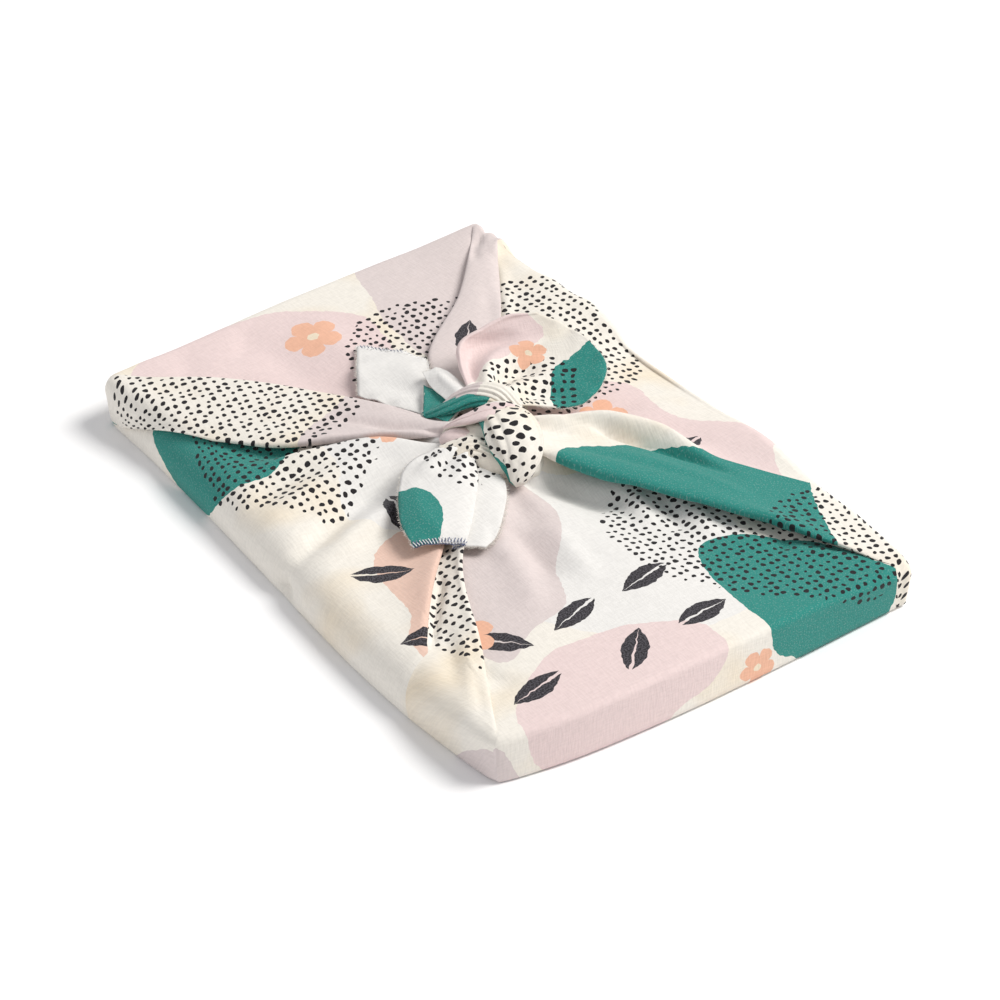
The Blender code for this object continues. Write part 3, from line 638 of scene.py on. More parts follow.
def pull_creases():
    """The short pulls round the knot, as creases."""
    for pull in PULLS:
        angle = math.radians(pull.angle)
        path = [
            (KNOT_X + r * math.cos(angle), KNOT_Y + r * math.sin(angle), PULL_HEIGHT_AT)
            for r in (PULL_START, 0.5 * (PULL_START + pull.reach), pull.reach)
        ]
        yield Crease("pull", PULL_WIDTH, PULL_WIDTH, pull.height, path)


def unevenness(points, scales=UNEVEN):
    """Slow random swells of slack cloth, the same each run."""
    flat = points.reshape(-1, 3)
    height = np.zeros(len(flat))
    for scale in scales:
        height += [scale.height * noise.noise(Vector(p / scale.pitch)) for p in flat]
    return height.reshape(points.shape[:-1])


def cloth_coordinates(patch, column):
    """Where the points of a column lie on the flat cloth, measured from its middle."""
    corner = np.array(CORNERS[patch.index])
    if patch.kind == "side":
        run = np.array(CORNERS[(patch.index + 1) % 4]) - corner
        across_flat = across = run / np.linalg.norm(run)
        beyond = right_of(run)
        inward, reach = -beyond, CROWN_HEIGHT
    else:
        run = np.array((KNOT_X, KNOT_Y)) - corner
        inward, across = run / np.linalg.norm(run), -right_of(run)
        beyond = np.sign(corner) / math.sqrt(2)
        across_flat, reach = np.array((beyond[1], -beyond[0])), CROWN_HEIGHT * math.sqrt(2)
    plan = column[:, :2] - corner
    depth, offset = plan @ inward, plan @ across
    fall = np.cumsum(np.linalg.norm(np.diff(column[TOP_ROWS:], axis=0), axis=1))
    depth[TOP_ROWS + 1 :] = depth[TOP_ROWS] - fall
    if patch.kind == "corner":
        offset[TOP_ROWS + 1 :] = offset[TOP_ROWS]
    return corner + beyond * reach + np.outer(depth, beyond) + np.outer(offset, across_flat)


def fan(ring, tip, reverse):
    """Triangles that close a ring of points to a tip."""
    following = ring[1:] + ring[:1]
    return [(a, b, tip) for a, b in (zip(following, ring) if reverse else zip(ring, following))]


def finish_mesh(name, verts, faces, uvs):
    """A smooth object from points in millimetres, and its place on the cloth as a UV map."""
    mesh = bpy.data.meshes.new(name)
    mesh.from_pydata((np.array(verts) * MM).tolist(), [], faces)
    layer = mesh.uv_layers.new(name="cloth")
    layer.data.foreach_set("uv", (np.array(uvs) * MM).ravel())
    mesh.shade_smooth()
    return linked(name, mesh)


def body_points():
    """The body's columns with their creases pressed in, and each column's patch."""
    points, normals, patches = body_columns()
    height = unevenness(points)
    for crease in (*CREASES, *pull_creases()):
        height += crease_height(points, crease)
    height[:, -1] = 0.0
    height[:, -SIDE_ROWS - 1 :] *= np.linspace(1.0, 0.0, SIDE_ROWS + 1)
    points += normals * height[..., None]
    points[:, -1, 2] = 0.0
    return points, patches


def make_body():
    """The wrapped parcel: a closed loft, flat on the floor."""
    points, patches = body_points()
    n, rows = points.shape[:2]
    verts = list(points.reshape(-1, 3))
    faces, uvs = [], []
    for i, patch in enumerate(patches):
        j = (i + 1) % n
        here, there = cloth_coordinates(patch, points[i]), cloth_coordinates(patch, points[j])
        for r in range(rows - 1):
            faces.append((i * rows + r, i * rows + r + 1, j * rows + r + 1, j * rows + r))
            uvs += [here[r], here[r + 1], there[r + 1], there[r]]
    underside = []
    floor_ring = [i * rows + rows - 1 for i in range(n)]
    middle = points[:, -1].mean(axis=0)
    for k in range(1, FLOOR_RINGS):
        ring = [len(verts) + i for i in range(n)]
        share = k / FLOOR_RINGS
        verts += [points[i, -1] * (1 - share) + middle * share for i in range(n)]
        for i in range(n):
            j = (i + 1) % n
            underside.append((floor_ring[i], ring[i], ring[j], floor_ring[j]))
        floor_ring = ring
    verts += [middle, points[:, 0].mean(axis=0)]
    underside += fan(floor_ring, len(verts) - 2, True)
    under_knot = fan([i * rows for i in range(n)], len(verts) - 1, False)
    uvs += [verts[v][:2] for face in (*underside, *under_knot) for v in face]
    return finish_mesh("wrapped_body", verts, [*faces, *underside, *under_knot], uvs)


# --------------------------------------------------------------------------------------
# The knot
# --------------------------------------------------------------------------------------

STRAND_STEPS, STRAND_SIDES = 12, 96
STRAND_CAP = 0.6  # how far a strand's end bulges, as a share of its half thickness
SEAM_ANGLE = -90.0  # the print's seam runs along a strand's underside
KNOT_CLOTH_TURN = 45.0  # the cloth's threads run slantwise through the knot

# A strand is swept through oval sections. Its pleats are grooves along it: the angle
# round the section where one starts and how far it winds by the end, how far its flanks
# reach in degrees, and its depth as a share of the radius, below 0 for a ridge. Its cloth
# is the place on the flat cloth that it shows, clear of the body's and the others'.
Section = namedtuple("Section", "x y z half_width half_thickness roll")
Pleat = namedtuple("Pleat", "angle winds left right depth")
Strand = namedtuple("Strand", "sections pleats cloth")
STRANDS = {
    "knot_core": Strand(
        (
            (-17, -4, 28, 5, 4, 0),
            (-9, -1, 30, 15, 8, 0),
            (3, 3, 31.5, 18, 9.5, 0),
            (14, 7, 30, 15, 8, 0),
            (22, 9, 27, 5, 4, 0),
        ),
        (Pleat(60, 20, 10, 18, 0.10), Pleat(110, -20, 12, 12, 0.12)),
        (1000, 0),
    ),
    "knot_lobe": Strand(
        (
            (-12, 10.5, 38, 6.5, 3, 0),
            (-5, 8.5, 41, 9, 3.8, 0),
            (4, 6.5, 43, 11.2, 4.6, 0),
            (12.5, 4.2, 41.5, 12, 5.2, 0),
            (19.3, 2, 37.6, 10.6, 5.2, 0),
            (23.8, -0.8, 33, 7.2, 4.4, 0),
            (26.6, -3.8, 28.8, 3.2, 3, 0),
        ),
        (
            Pleat(34, 8, 3, 26, 0.24),
            Pleat(56, -6, 5, 5, -0.06),
            Pleat(68, -10, 5, 8, 0.10),
            Pleat(92, -4, 5, 9, 0.06),
            Pleat(146, 6, 4, 3, 0.09),
            Pleat(158, 6, 3, 6, -0.06),
            Pleat(116, 20, 8, 12, 0.05),
        ),
        (500, 0),
    ),
    "knot_strap": Strand(
        (
            (-16.5, -10.5, 34.5, 1.2, 1, 25),
            (-13, -7, 37.6, 4, 1.7, 25),
            (-9.5, -2.5, 40.4, 6.6, 2.2, 22),
            (-6, 3.5, 43.2, 8.2, 2.6, 16),
            (-2, 10, 43.6, 8, 2.9, 8),
            (2, 15.5, 40.6, 6.4, 3, 0),
            (6, 19.5, 35, 4.6, 3, 0),
        ),
        (
            Pleat(46, 26, 5, 9, 0.20),
            Pleat(70, 20, 5, 8, 0.14),
            Pleat(90, 14, 6, 6, -0.10),
            Pleat(106, 10, 8, 4, 0.22),
            Pleat(128, 4, 5, 6, 0.16),
            Pleat(150, 0, 6, 8, 0.14),
        ),
        (600, 0),
    ),
    "knot_back_turn": Strand(
        (
            (-36, -8.5, 29, 2.6, 1.4, 0),
            (-30, -6, 33.4, 4.2, 2, 0),
            (-24.5, -1.6, 37.6, 4.4, 2.5, 0),
            (-20, 5, 40.6, 4.2, 2.9, 0),
            (-14.5, 12, 41, 4.2, 3, 0),
            (-6, 17.5, 37, 3.8, 2.8, 0),
        ),
        (
            Pleat(20, 90, 8, 16, 0.22),
            Pleat(80, 90, 8, 16, 0.22),
            Pleat(140, 90, 8, 16, 0.20),
            Pleat(-40, 90, 8, 16, 0.20),
        ),
        (700, 0),
    ),
    "knot_front_turn": Strand(
        (
            (13, -2, 33, 5.4, 3.8, 0),
            (8, -5.6, 35, 6.4, 4.4, 0),
            (3.2, -9.6, 35.6, 7, 4.2, 0),
            (0.6, -14.6, 34.4, 7.6, 3.4, 0),
            (-1.6, -21, 32.6, 8, 2, 0),
        ),
        (
            Pleat(50, 10, 5, 10, 0.22),
            Pleat(76, 4, 6, 8, 0.18),
            Pleat(100, 0, 9, 6, 0.22),
            Pleat(126, -6, 5, 9, 0.18),
            Pleat(150, -10, 5, 9, 0.18),
        ),
        (800, 0),
    ),
    "knot_collar": Strand(
        (
            (-28.5, -2, 35.4, 2.4, 2, 0),
            (-26, 4, 39, 4.2, 3, 0),
            (-21, 10.5, 42, 5.4, 3.8, 0),
            (-14, 16.5, 42.2, 5.6, 3.8, 0),
            (-6, 20, 38, 3.8, 3.2, 0),
        ),
        (
            Pleat(20, -60, 5, 9, 0.20),
            Pleat(50, -60, 6, 9, 0.22),
            Pleat(84, -60, 5, 10, 0.20),
            Pleat(112, -60, 6, 8, 0.22),
            Pleat(140, -60, 5, 9, 0.20),
            Pleat(170, -60, 6, 9, 0.20),
        ),
        (900, 0),
    ),
    "knot_bud": Strand(
        (
            (-13.5, -13.5, 31.5, 2.6, 2.2, 0),
            (-10.5, -11.5, 33.6, 4.6, 3.4, 0),
            (-7, -8.5, 34.4, 5.2, 3.8, 0),
            (-3, -5.5, 34, 4.4, 3.4, 0),
        ),
        (Pleat(80, 0, 10, 16, 0.14),),
        (1100, 0),
    ),
}
KNOT_UNEVEN = (UnevenStep(11.0, 0.35), UnevenStep(4.5, 0.12))


def turned(points, degrees, origin):
    """Plane points turned about their own origin, and then moved to another."""
    a = math.radians(degrees)
    spin = np.array(((math.cos(a), math.sin(a)), (-math.sin(a), math.cos(a))))
    return np.array(points) @ spin + np.array(origin)


def pleated(strand, degrees, share):
    """A strand's size at an angle round its section, that share of the way along it."""
    size = 1.0
    for pleat in strand.pleats:
        away = (degrees - pleat.angle - pleat.winds * share + 180.0) % 360.0 - 180.0
        size -= pleat.depth * math.exp(-((away / (pleat.left if away > 0 else pleat.right)) ** 2))
    return size


def strand_points(strand, rows, centres, along):
    """A ring of points for each of the rows, pleated and a little uneven."""
    level = unit(np.cross(along, (0.0, 0.0, 1.0)))
    upright = np.cross(level, along)
    points = []
    for r, row in enumerate(rows):
        roll = math.radians(row.roll)
        wide = (level[r] * math.cos(roll) + upright[r] * math.sin(roll)) * row.half_width
        thick = (upright[r] * math.cos(roll) - level[r] * math.sin(roll)) * row.half_thickness
        for k in range(STRAND_SIDES):
            degrees = SEAM_ANGLE + 360.0 * k / STRAND_SIDES
            angle = math.radians(degrees)
            out = wide * math.cos(angle) + thick * math.sin(angle)
            points.append(centres[r] + out * pleated(strand, degrees, r / (len(rows) - 1)))
    points = np.array(points)
    out = unit(points - np.repeat(centres, STRAND_SIDES, axis=0))
    return points + out * unevenness(points, KNOT_UNEVEN)[:, None]


def make_strand(name, strand):
    """A closed pleated strand of gathered cloth."""
    rows = [Section(*row) for row in through(strand.sections, STRAND_STEPS)]
    centres = np.array([(row.x, row.y, row.z) for row in rows])
    along = unit(np.gradient(centres, axis=0))
    girth = math.pi * np.mean([row.half_width + row.half_thickness for row in rows])
    last, m = len(rows) - 1, STRAND_SIDES
    unrolled = [(u, girth * k / m) for u in distance_along(centres) for k in range(m + 1)]
    flat = turned(unrolled, KNOT_CLOTH_TURN, strand.cloth)
    verts, faces, uvs = list(strand_points(strand, rows, centres, along)), [], []
    for r in range(last):
        for k in range(m):
            j = (k + 1) % m
            faces.append((r * m + k, (r + 1) * m + k, (r + 1) * m + j, r * m + j))
            corners = ((r, k), (r + 1, k), (r + 1, k + 1), (r, k + 1))
            uvs += [flat[a * (m + 1) + b] for a, b in corners]
    for row, way in ((0, -1), (last, 1)):
        verts.append(centres[row] + along[row] * way * STRAND_CAP * rows[row].half_thickness)
        faces += fan([row * m + k for k in range(m)], len(verts) - 1, way > 0)
        uvs += [flat[row * (m + 1) + k] for k in range(m) for _ in range(3)]
    return finish_mesh(name, verts, faces, uvs)


# --------------------------------------------------------------------------------------
# The free ends
# --------------------------------------------------------------------------------------

CLOTH_THICKNESS = 0.7
END_STEPS, END_COLUMNS = 10, 64

# Cross rows of left, middle and right points from the knot outward. The profile says how
# the cloth lies across them: shares across with depths under the rows' surface, so that a
# share that goes back makes a fold. Relief is pressed in along paths whose points are
# shares across and along the end. Flat is its cut width and length in metres, and cloth is
# its place on the flat cloth.
CrossRow = namedtuple("CrossRow", "left middle right")
Relief = namedtuple("Relief", "path left right height")
End = namedtuple("End", "rows profile relief flat cloth")
FLAT_PROFILE = ((0, 0), (0.33, 0), (0.67, 0), (1, 0))
ENDS = {
    "end_front": End(
        (
            ((-5, -14, 33), (1.5, -12, 36), (8, -8, 35)),
            ((-8.4, -24, 32), (4, -18, 34.5), (15, -7, 31)),
            ((-6.1, -37.2, 30.5), (11, -26, 32.5), (25.3, -8.5, 28.5)),
            ((3.6, -46.7, 29.5), (20, -34, 31), (33.3, -14, 27.5)),
            ((20.6, -57.6, 28), (33, -44, 29.5), (47.9, -28.4, 26.5)),
            ((37, -61.8, 26), (43.5, -51, 27.5), (52.3, -37.4, 25.8)),
        ),
        (
            (0, -0.6), (0.20, -1.4), (0.45, -1.8), (0.66, -1.7), (0.745, -0.9), (0.72, -0.1),
            (0.64, 0), (0.60, 0.6), (0.65, 1.2), (0.78, 0.8), (0.90, 0), (1, -0.2),
        ),
        (
            Relief(((0.42, 0), (0.30, 0.22), (0.16, 0.5)), 2.5, 4.5, 1.4),
            Relief(((0.55, 0), (0.44, 0.2), (0.34, 0.45)), 2, 3, -1.5),
            Relief(((0.66, 0), (0.60, 0.2), (0.56, 0.5)), 2, 2.5, 1.1),
            Relief(((0.28, 0), (0.14, 0.2), (0.07, 0.4)), 2, 3, -1.2),
            Relief(((0.10, 0.5), (0.30, 0.8), (0.55, 0.95)), 5, 4, 0.8),
        ),
        (0.045, 0.062), (500, 200),
    ),
    "end_left": End(
        (
            ((-20, -6, 32), (-22, -1, 34), (-24, 4, 34)),
            ((-31, -8.5, 30.5), (-39, -1.5, 32), (-48, 5, 31)),
            ((-37, -9.5, 29.5), (-52, 2, 31.5), (-68.8, 15, 30.5)),
            ((-53, -15.5, 28), (-67, -3, 30), (-85.5, 8, 29)),
            ((-67.4, -20.8, 26.5), (-81, -12.5, 28), (-97.5, -1.5, 27.5)),
        ),
        FLAT_PROFILE,
        (
            Relief(((0.5, 0.1), (0.55, 0.4), (0.75, 0.8)), 5, 5, 1),
            Relief(((0.25, 0.2), (0.3, 0.6), (0.35, 1)), 4, 5, -0.8),
        ),
        (0.030, 0.055), (620, 200),
    ),
    "end_small": End(
        (
            ((-22, -1, 37.5), (-22.5, 4, 40), (-22, 9, 40)),
            ((-33, 0, 37), (-31, 5.5, 39.5), (-33, 11, 39)),
            ((-44.5, 1.5, 35.5), (-43, 6.5, 38), (-48.5, 10.8, 38.5)),
            ((-54, 3.8, 36.5), (-52.5, 6.5, 37.5), (-52, 9, 38.5)),
        ),
        FLAT_PROFILE,
        (Relief(((0.5, 0), (0.5, 0.5), (0.6, 0.9)), 2, 2, 0.9),),
        (0.011, 0.031), (740, 200),
    ),
    "end_small_under": End(
        (
            ((-20, -7, 34.5), (-22, -1, 35.5), (-24, 4, 36.5)),
            ((-27, -8.5, 33.3), (-31, -2.5, 34.2), (-36, 3.5, 35)),
            ((-32.2, -10.8, 32.3), (-41, -4.5, 33.2), (-50, 1.4, 33.5)),
        ),
        FLAT_PROFILE,
        (Relief(((0.4, 0.1), (0.4, 0.8)), 3, 3, 0.6),),
        (0.014, 0.020), (860, 200),
    ),
    "end_back": End(
        (
            ((-22, 7, 40), (-15, 12, 43), (-7, 17, 41)),
            ((-41.5, 14.5, 43.5), (-29, 22, 41.5), (-2, 31.5, 37)),
            ((-52, 22, 46), (-36, 34, 41), (3, 46.5, 35)),
            ((-53.5, 33.5, 48), (-36, 46, 42.5), (-0.5, 60, 38.5)),
            ((-52.5, 46, 50.5), (-34, 56, 45.5), (-8.5, 67.5, 42.5)),
            ((-46, 57.5, 51.5), (-34, 63.5, 49.5), (-22, 68, 46.5)),
        ),
        (
            (0, 1.8), (0.012, 0.4), (0.04, -0.4), (0.10, 0.3), (0.30, 0.5), (0.42, -0.6),
            (0.52, -0.6), (0.60, 0.5), (0.76, 0), (0.90, 0.2), (1, 0),
        ),
        (
            Relief(((0.26, 0), (0.20, 0.3), (0.24, 0.75)), 5, 7, -3.4),
            Relief(((0.44, 0), (0.44, 0.35), (0.50, 0.8)), 4, 4, 2.4),
            Relief(((0.60, 0), (0.60, 0.25), (0.66, 0.55)), 2.4, 4, -2.8),
            Relief(((0.72, 0), (0.74, 0.3), (0.80, 0.6)), 2.5, 3.5, 2.2),
            Relief(((0.86, 0), (0.86, 0.25), (0.88, 0.5)), 2, 2.5, -1.8),
        ),
        (0.050, 0.060), (980, 200),
    ),
}
EDGE_CURL = UnevenStep(7.0, 1.3)  # raw edges lift and dip
EDGE_CURL_REACH = 3.0
END_CLOSES_OVER = 0.2  # of an end's length, where its folds come together at the knot
END_UNEVEN = (UnevenStep(18.0, 0.5), UnevenStep(7.0, 0.18))


def cross_rows(end):
    """Rows of points across the end on plain arches, and the sheet's normals there."""
    s = np.linspace(0.0, 1.0, END_COLUMNS + 1)[:, None]
    weights = (2 * (s - 0.5) * (s - 1), 4 * s * (1 - s), 2 * s * (s - 0.5))
    rows = through([np.ravel(row) for row in end.rows], END_STEPS)
    arches = [CrossRow(*row.reshape(3, 3)) for row in rows]
    plain = np.array([sum(w * p for w, p in zip(weights, arch)) for arch in arches])
    upright = unit(np.cross(np.gradient(plain, axis=1), np.gradient(plain, axis=0)))
    return plain, upright * np.sign(upright[..., 2].mean())


def spread(values, shares):
    """Rows of values read again at these shares across."""
    across = np.linspace(0.0, 1.0, values.shape[1])
    return np.array([np.stack([np.interp(shares, across, c) for c in row.T], axis=1) for row in values])


def end_grid(end):
    """The end's points and normals, from the knot outward."""
    shares, depths = through(end.profile, math.ceil(END_COLUMNS / len(end.profile))).T
    grid, normals = (spread(values, shares) for values in cross_rows(end))
    along = np.linspace(0.0, 1.0, len(grid))
    opens = smooth(along / END_CLOSES_OVER)[:, None]
    grid -= normals * (opens * depths)[..., None]
    width, length = (side / MM for side in end.flat)
    flat = np.stack(np.broadcast_arrays(shares * width, along[:, None] * length, 0.0), axis=-1)
    from_edge = np.minimum(shares, 1.0 - shares) * width
    from_tip = np.linspace(length, 0.0, len(grid))[:, None]
    near_edge = np.exp(-((np.minimum(from_edge, from_tip) / EDGE_CURL_REACH) ** 2))
    height = unevenness(grid * (1.0, 1.0, 0.0), END_UNEVEN)
    elsewhere = grid + EDGE_CURL.pitch  # in the noise, so that the curl keeps its own rhythm
    height += unevenness(elsewhere, (EDGE_CURL,)) * near_edge * opens
    for relief in end.relief:
        path = [(s * width, t * length, 0.0) for s, t in relief.path]
        height += crease_height(flat, relief._replace(path=path))
    return grid + normals * height[..., None], normals


def make_end(name, end):
    """A free end: one thin sheet with the print outside and the pale reverse within."""
    grid, _ = end_grid(end)
    n, m = grid.shape[:2]
    across = np.array([distance_along(row) for row in grid])
    steps = np.linalg.norm(np.diff(grid, axis=0), axis=2)
    along = np.concatenate(((0.0,), np.cumsum(steps, axis=0).mean(axis=1)))
    flat = np.stack((across - across[:, -1:] / 2, np.repeat(along[:, None], m, axis=1)), axis=-1)
    flat = turned(flat.reshape(-1, 2), KNOT_CLOTH_TURN, end.cloth)
    faces = [
        (r * m + k, r * m + k + 1, (r + 1) * m + k + 1, (r + 1) * m + k)
        for r in range(n - 1)
        for k in range(m - 1)
    ]
    uvs = [flat[v] for face in faces for v in face]
    obj = finish_mesh(name, list(grid.reshape(-1, 3)), faces, uvs)
    if sum(p.normal.z * p.area for p in obj.data.polygons) < 0:
        obj.data.flip_normals()
    wall = obj.modifiers.new("cloth", "SOLIDIFY")
    wall.thickness = CLOTH_THICKNESS * MM
    wall.offset = 0.0
    wall.material_offset = 1
    return obj


# --------------------------------------------------------------------------------------
# Raw edges and overlocked hems
# --------------------------------------------------------------------------------------

# Threads stand along part of an end's edge, from one share of it to another, and the least
# is the shortest one's share of the length. Inward ones lie back over the cloth, slanting
# along the edge, as an overlocker's stitches do. A row that ends early is a frayed edge.
Threads = namedtuple(
    "Threads",
    "seed end edge start stop pitch length thickness least jitter bend inward slant lift finish",
    defaults=(0.5, False, 0, 0, "raw"),
)
THREADS = {
    "fray_front_left": Threads(11, "end_front", "left", 0.2, 1, 0.20, 1.5, 0.15, 0.25, 0.75),
    "fray_front_right": Threads(12, "end_front", "right", 0.2, 1, 0.18, 1.9, 0.15, 0.25, 0.8),
    "fray_front_tip": Threads(13, "end_front", "tip", 0.70, 1, 0.18, 1.9, 0.15, 0.25, 0.8),
    "fray_left_tip": Threads(14, "end_left", "tip", 0, 1, 0.20, 1.5, 0.15, 0.25, 0.8),
    "fray_left_top": Threads(15, "end_left", "right", 0.35, 1, 0.20, 1.8, 0.15, 0.25, 0.8),
    "fray_small_tip": Threads(16, "end_small", "tip", 0, 1, 0.26, 1.5, 0.16, 0.25, 0.9),
    "fray_under_tip": Threads(17, "end_small_under", "tip", 0, 1, 0.34, 1.2, 0.16, 0.3, 0.7),
    "fray_back_right": Threads(18, "end_back", "right", 0.15, 1, 0.22, 1.5, 0.15, 0.25, 0.8),
    "fray_back_tip": Threads(19, "end_back", "tip", 0.45, 1, 0.24, 1.2, 0.15, 0.25, 0.7),
    "hem_front_slate": Threads(
        21, "end_front", "tip", 0, 0.74, 1.15, 2.9, 0.42, 0.85, 0.10, 0.1, True, 0.45, 0.55, "slate",
    ),
    "hem_front_white": Threads(
        22, "end_front", "tip", 0, 0.74, 1.15, 2.7, 0.46, 0.85, 0.10, 0.1, True, -0.25, 0.6, "white",
    ),
    "hem_front_loops": Threads(
        23, "end_front", "tip", 0, 0.74, 0.55, 1.3, 0.40, 0.6, 0.35, 0.3, False, 1.6, 0.3, "slate",
    ),
    "hem_left_white": Threads(
        24, "end_left", "right", 0.45, 1, 1.5, 2.3, 0.42, 0.8, 0.15, 0.1, True, 0.5, 0.55, "white",
    ),
    "hem_left_slate": Threads(
        25, "end_left", "right", 0.75, 0.98, 1.5, 2.1, 0.36, 0.8, 0.15, 0.1, True, -0.4, 0.6, "slate",
    ),
}
THREAD_COLOURS = {"raw": "#f6f2ea", "white": "#efefef", "slate": "#6f7796"}
THREAD_STEPS, THREAD_SIDES = 4, 3
THREAD_ROOT = -0.15  # where a thread starts inside the cloth, as a share of its length
THREAD_BENDS_AT = 0.55
OUT_FROM = 2  # columns or rows back from an edge, for the direction out of it


def edge_rows(end, threads):
    """Points along an end's edge at the threads' pitch, each with its thread's direction."""
    grid, normals = end_grid(end)
    inner = -1 - OUT_FROM
    place, behind = {
        "left": (np.s_[:, 0], np.s_[:, OUT_FROM]),
        "right": (np.s_[:, -1], np.s_[:, inner]),
        "tip": (np.s_[-1], np.s_[inner]),
    }[threads.edge]
    line = grid[place]
    run = distance_along(line)
    count = int((threads.stop - threads.start) * run[-1] / threads.pitch)
    at = np.linspace(threads.start * run[-1], threads.stop * run[-1], count)

    def along(values):
        return np.stack([np.interp(at, run, values[:, k]) for k in range(3)], axis=1)

    tangent = unit(along(np.gradient(line, axis=0)))
    out = along(unit(line - grid[behind])) * (-1 if threads.inward else 1)
    return along(line) + along(normals[place]) * threads.lift, out + tangent * threads.slant


def make_thread_tree():
    """Geometry Nodes: a short bent thread on each point, turned along the point's way."""
    tree = bpy.data.node_groups.new("cut_threads", "GeometryNodeTree")
    numbers = dict.fromkeys(("Length", "Thickness", "Least", "Jitter", "Bend"), "Float")
    for name, kind in {"Geometry": "Geometry", **numbers, "Seed": "Int", "Finish": "Material"}.items():
        tree.interface.new_socket(name, in_out="INPUT", socket_type="NodeSocket" + kind)
    tree.interface.new_socket("Geometry", in_out="OUTPUT", socket_type="NodeSocketGeometry")
    given = add(tree, "NodeGroupInput").node.outputs
    length, seed = given["Length"], given["Seed"]

    bend = add(tree, "CombineXYZ", (given["Bend"], 0.0, THREAD_BENDS_AT))
    spine = {"Resolution": THREAD_STEPS, "Start": (0, 0, THREAD_ROOT), "Middle": bend, "End": (0, 0, 1)}
    share = add(tree, "Math", (given["Thickness"], length), operation="DIVIDE")
    half = add(tree, "Math", (share, 0.5), operation="MULTIPLY")
    section = {"Resolution": THREAD_SIDES, "Radius": half}
    swept = {
        "Curve": add(tree, "GeometryNodeCurveQuadraticBezier", spine),
        "Profile Curve": add(tree, "GeometryNodeCurvePrimitiveCircle", section, mode="RADIUS"),
        "Fill Caps": True,
    }
    thread = add(tree, "GeometryNodeCurveToMesh", swept)

    way = add(tree, "GeometryNodeInputNamedAttribute", {"Name": "way"}, data_type="FLOAT_VECTOR")
    lowest = {LEAST_WAY: (-1, -1, -1), "Seed": seed}
    any_way = add(tree, "FunctionNodeRandomValue", lowest, data_type="FLOAT_VECTOR")
    loose = add(tree, "VectorMath", {0: any_way, "Scale": given["Jitter"]}, operation="SCALE")
    aim_at = add(tree, "VectorMath", (way, loose), operation="ADD")
    sizes = {LEAST_NUMBER: given["Least"], MOST_NUMBER: 1.0, "Seed": seed}
    size = add(tree, "FunctionNodeRandomValue", sizes, NUMBER, data_type="FLOAT")
    put = {
        "Points": given["Geometry"],
        "Instance": thread,
        "Rotation": add(tree, "FunctionNodeAlignRotationToVector", {"Vector": aim_at}, axis="Z"),
        "Scale": add(tree, "Math", (size, length), operation="MULTIPLY"),
    }
    instances = add(tree, "GeometryNodeInstanceOnPoints", put)
    real = add(tree, "GeometryNodeRealizeInstances", (instances,))
    finished = add(tree, "GeometryNodeSetMaterial", {"Geometry": real, "Material": given["Finish"]})
    tree.links.new(finished, tree.nodes.new("NodeGroupOutput").inputs[0])
    return tree


def make_threads(name, threads, tree, finish):
    """The threads of one edge as a plain mesh."""
    points, ways = edge_rows(ENDS[threads.end], threads)
    mesh = bpy.data.meshes.new(name)
    mesh.from_pydata((points * MM).tolist(), [], [])
    mesh.attributes.new("way", "FLOAT_VECTOR", "POINT").data.foreach_set("vector", ways.ravel())
    obj = linked(name, mesh)
    nodes = obj.modifiers.new("threads", "NODES")
    nodes.node_group = tree
    values = {key: getattr(threads, key.lower()) for key in ("Least", "Jitter", "Bend", "Seed")}
    values |= {"Length": threads.length * MM, "Thickness": threads.thickness * MM, "Finish": finish}
    for item in tree.interface.items_tree:
        if item.in_out == "INPUT" and item.name in values:
            nodes[item.identifier] = values[item.name]
    finished = obj.evaluated_get(bpy.context.evaluated_depsgraph_get())
    obj.data = bpy.data.meshes.new_from_object(finished)
    obj.modifiers.clear()
    return obj


# --------------------------------------------------------------------------------------
# The print
# --------------------------------------------------------------------------------------

CREAM, MILK, BLUSH, LILAC = "#e9e4db", "#e4e2df", "#e1cdcb", "#d6cac8"
STRAW, PEACH, EMERALD, APRICOT = "#e8dac3", "#e2c1b1", "#2b847b", "#e8b59a"
CHARCOAL, INK, UNPRINTED = "#4d4a50", "#201e21", "#f2ede2"

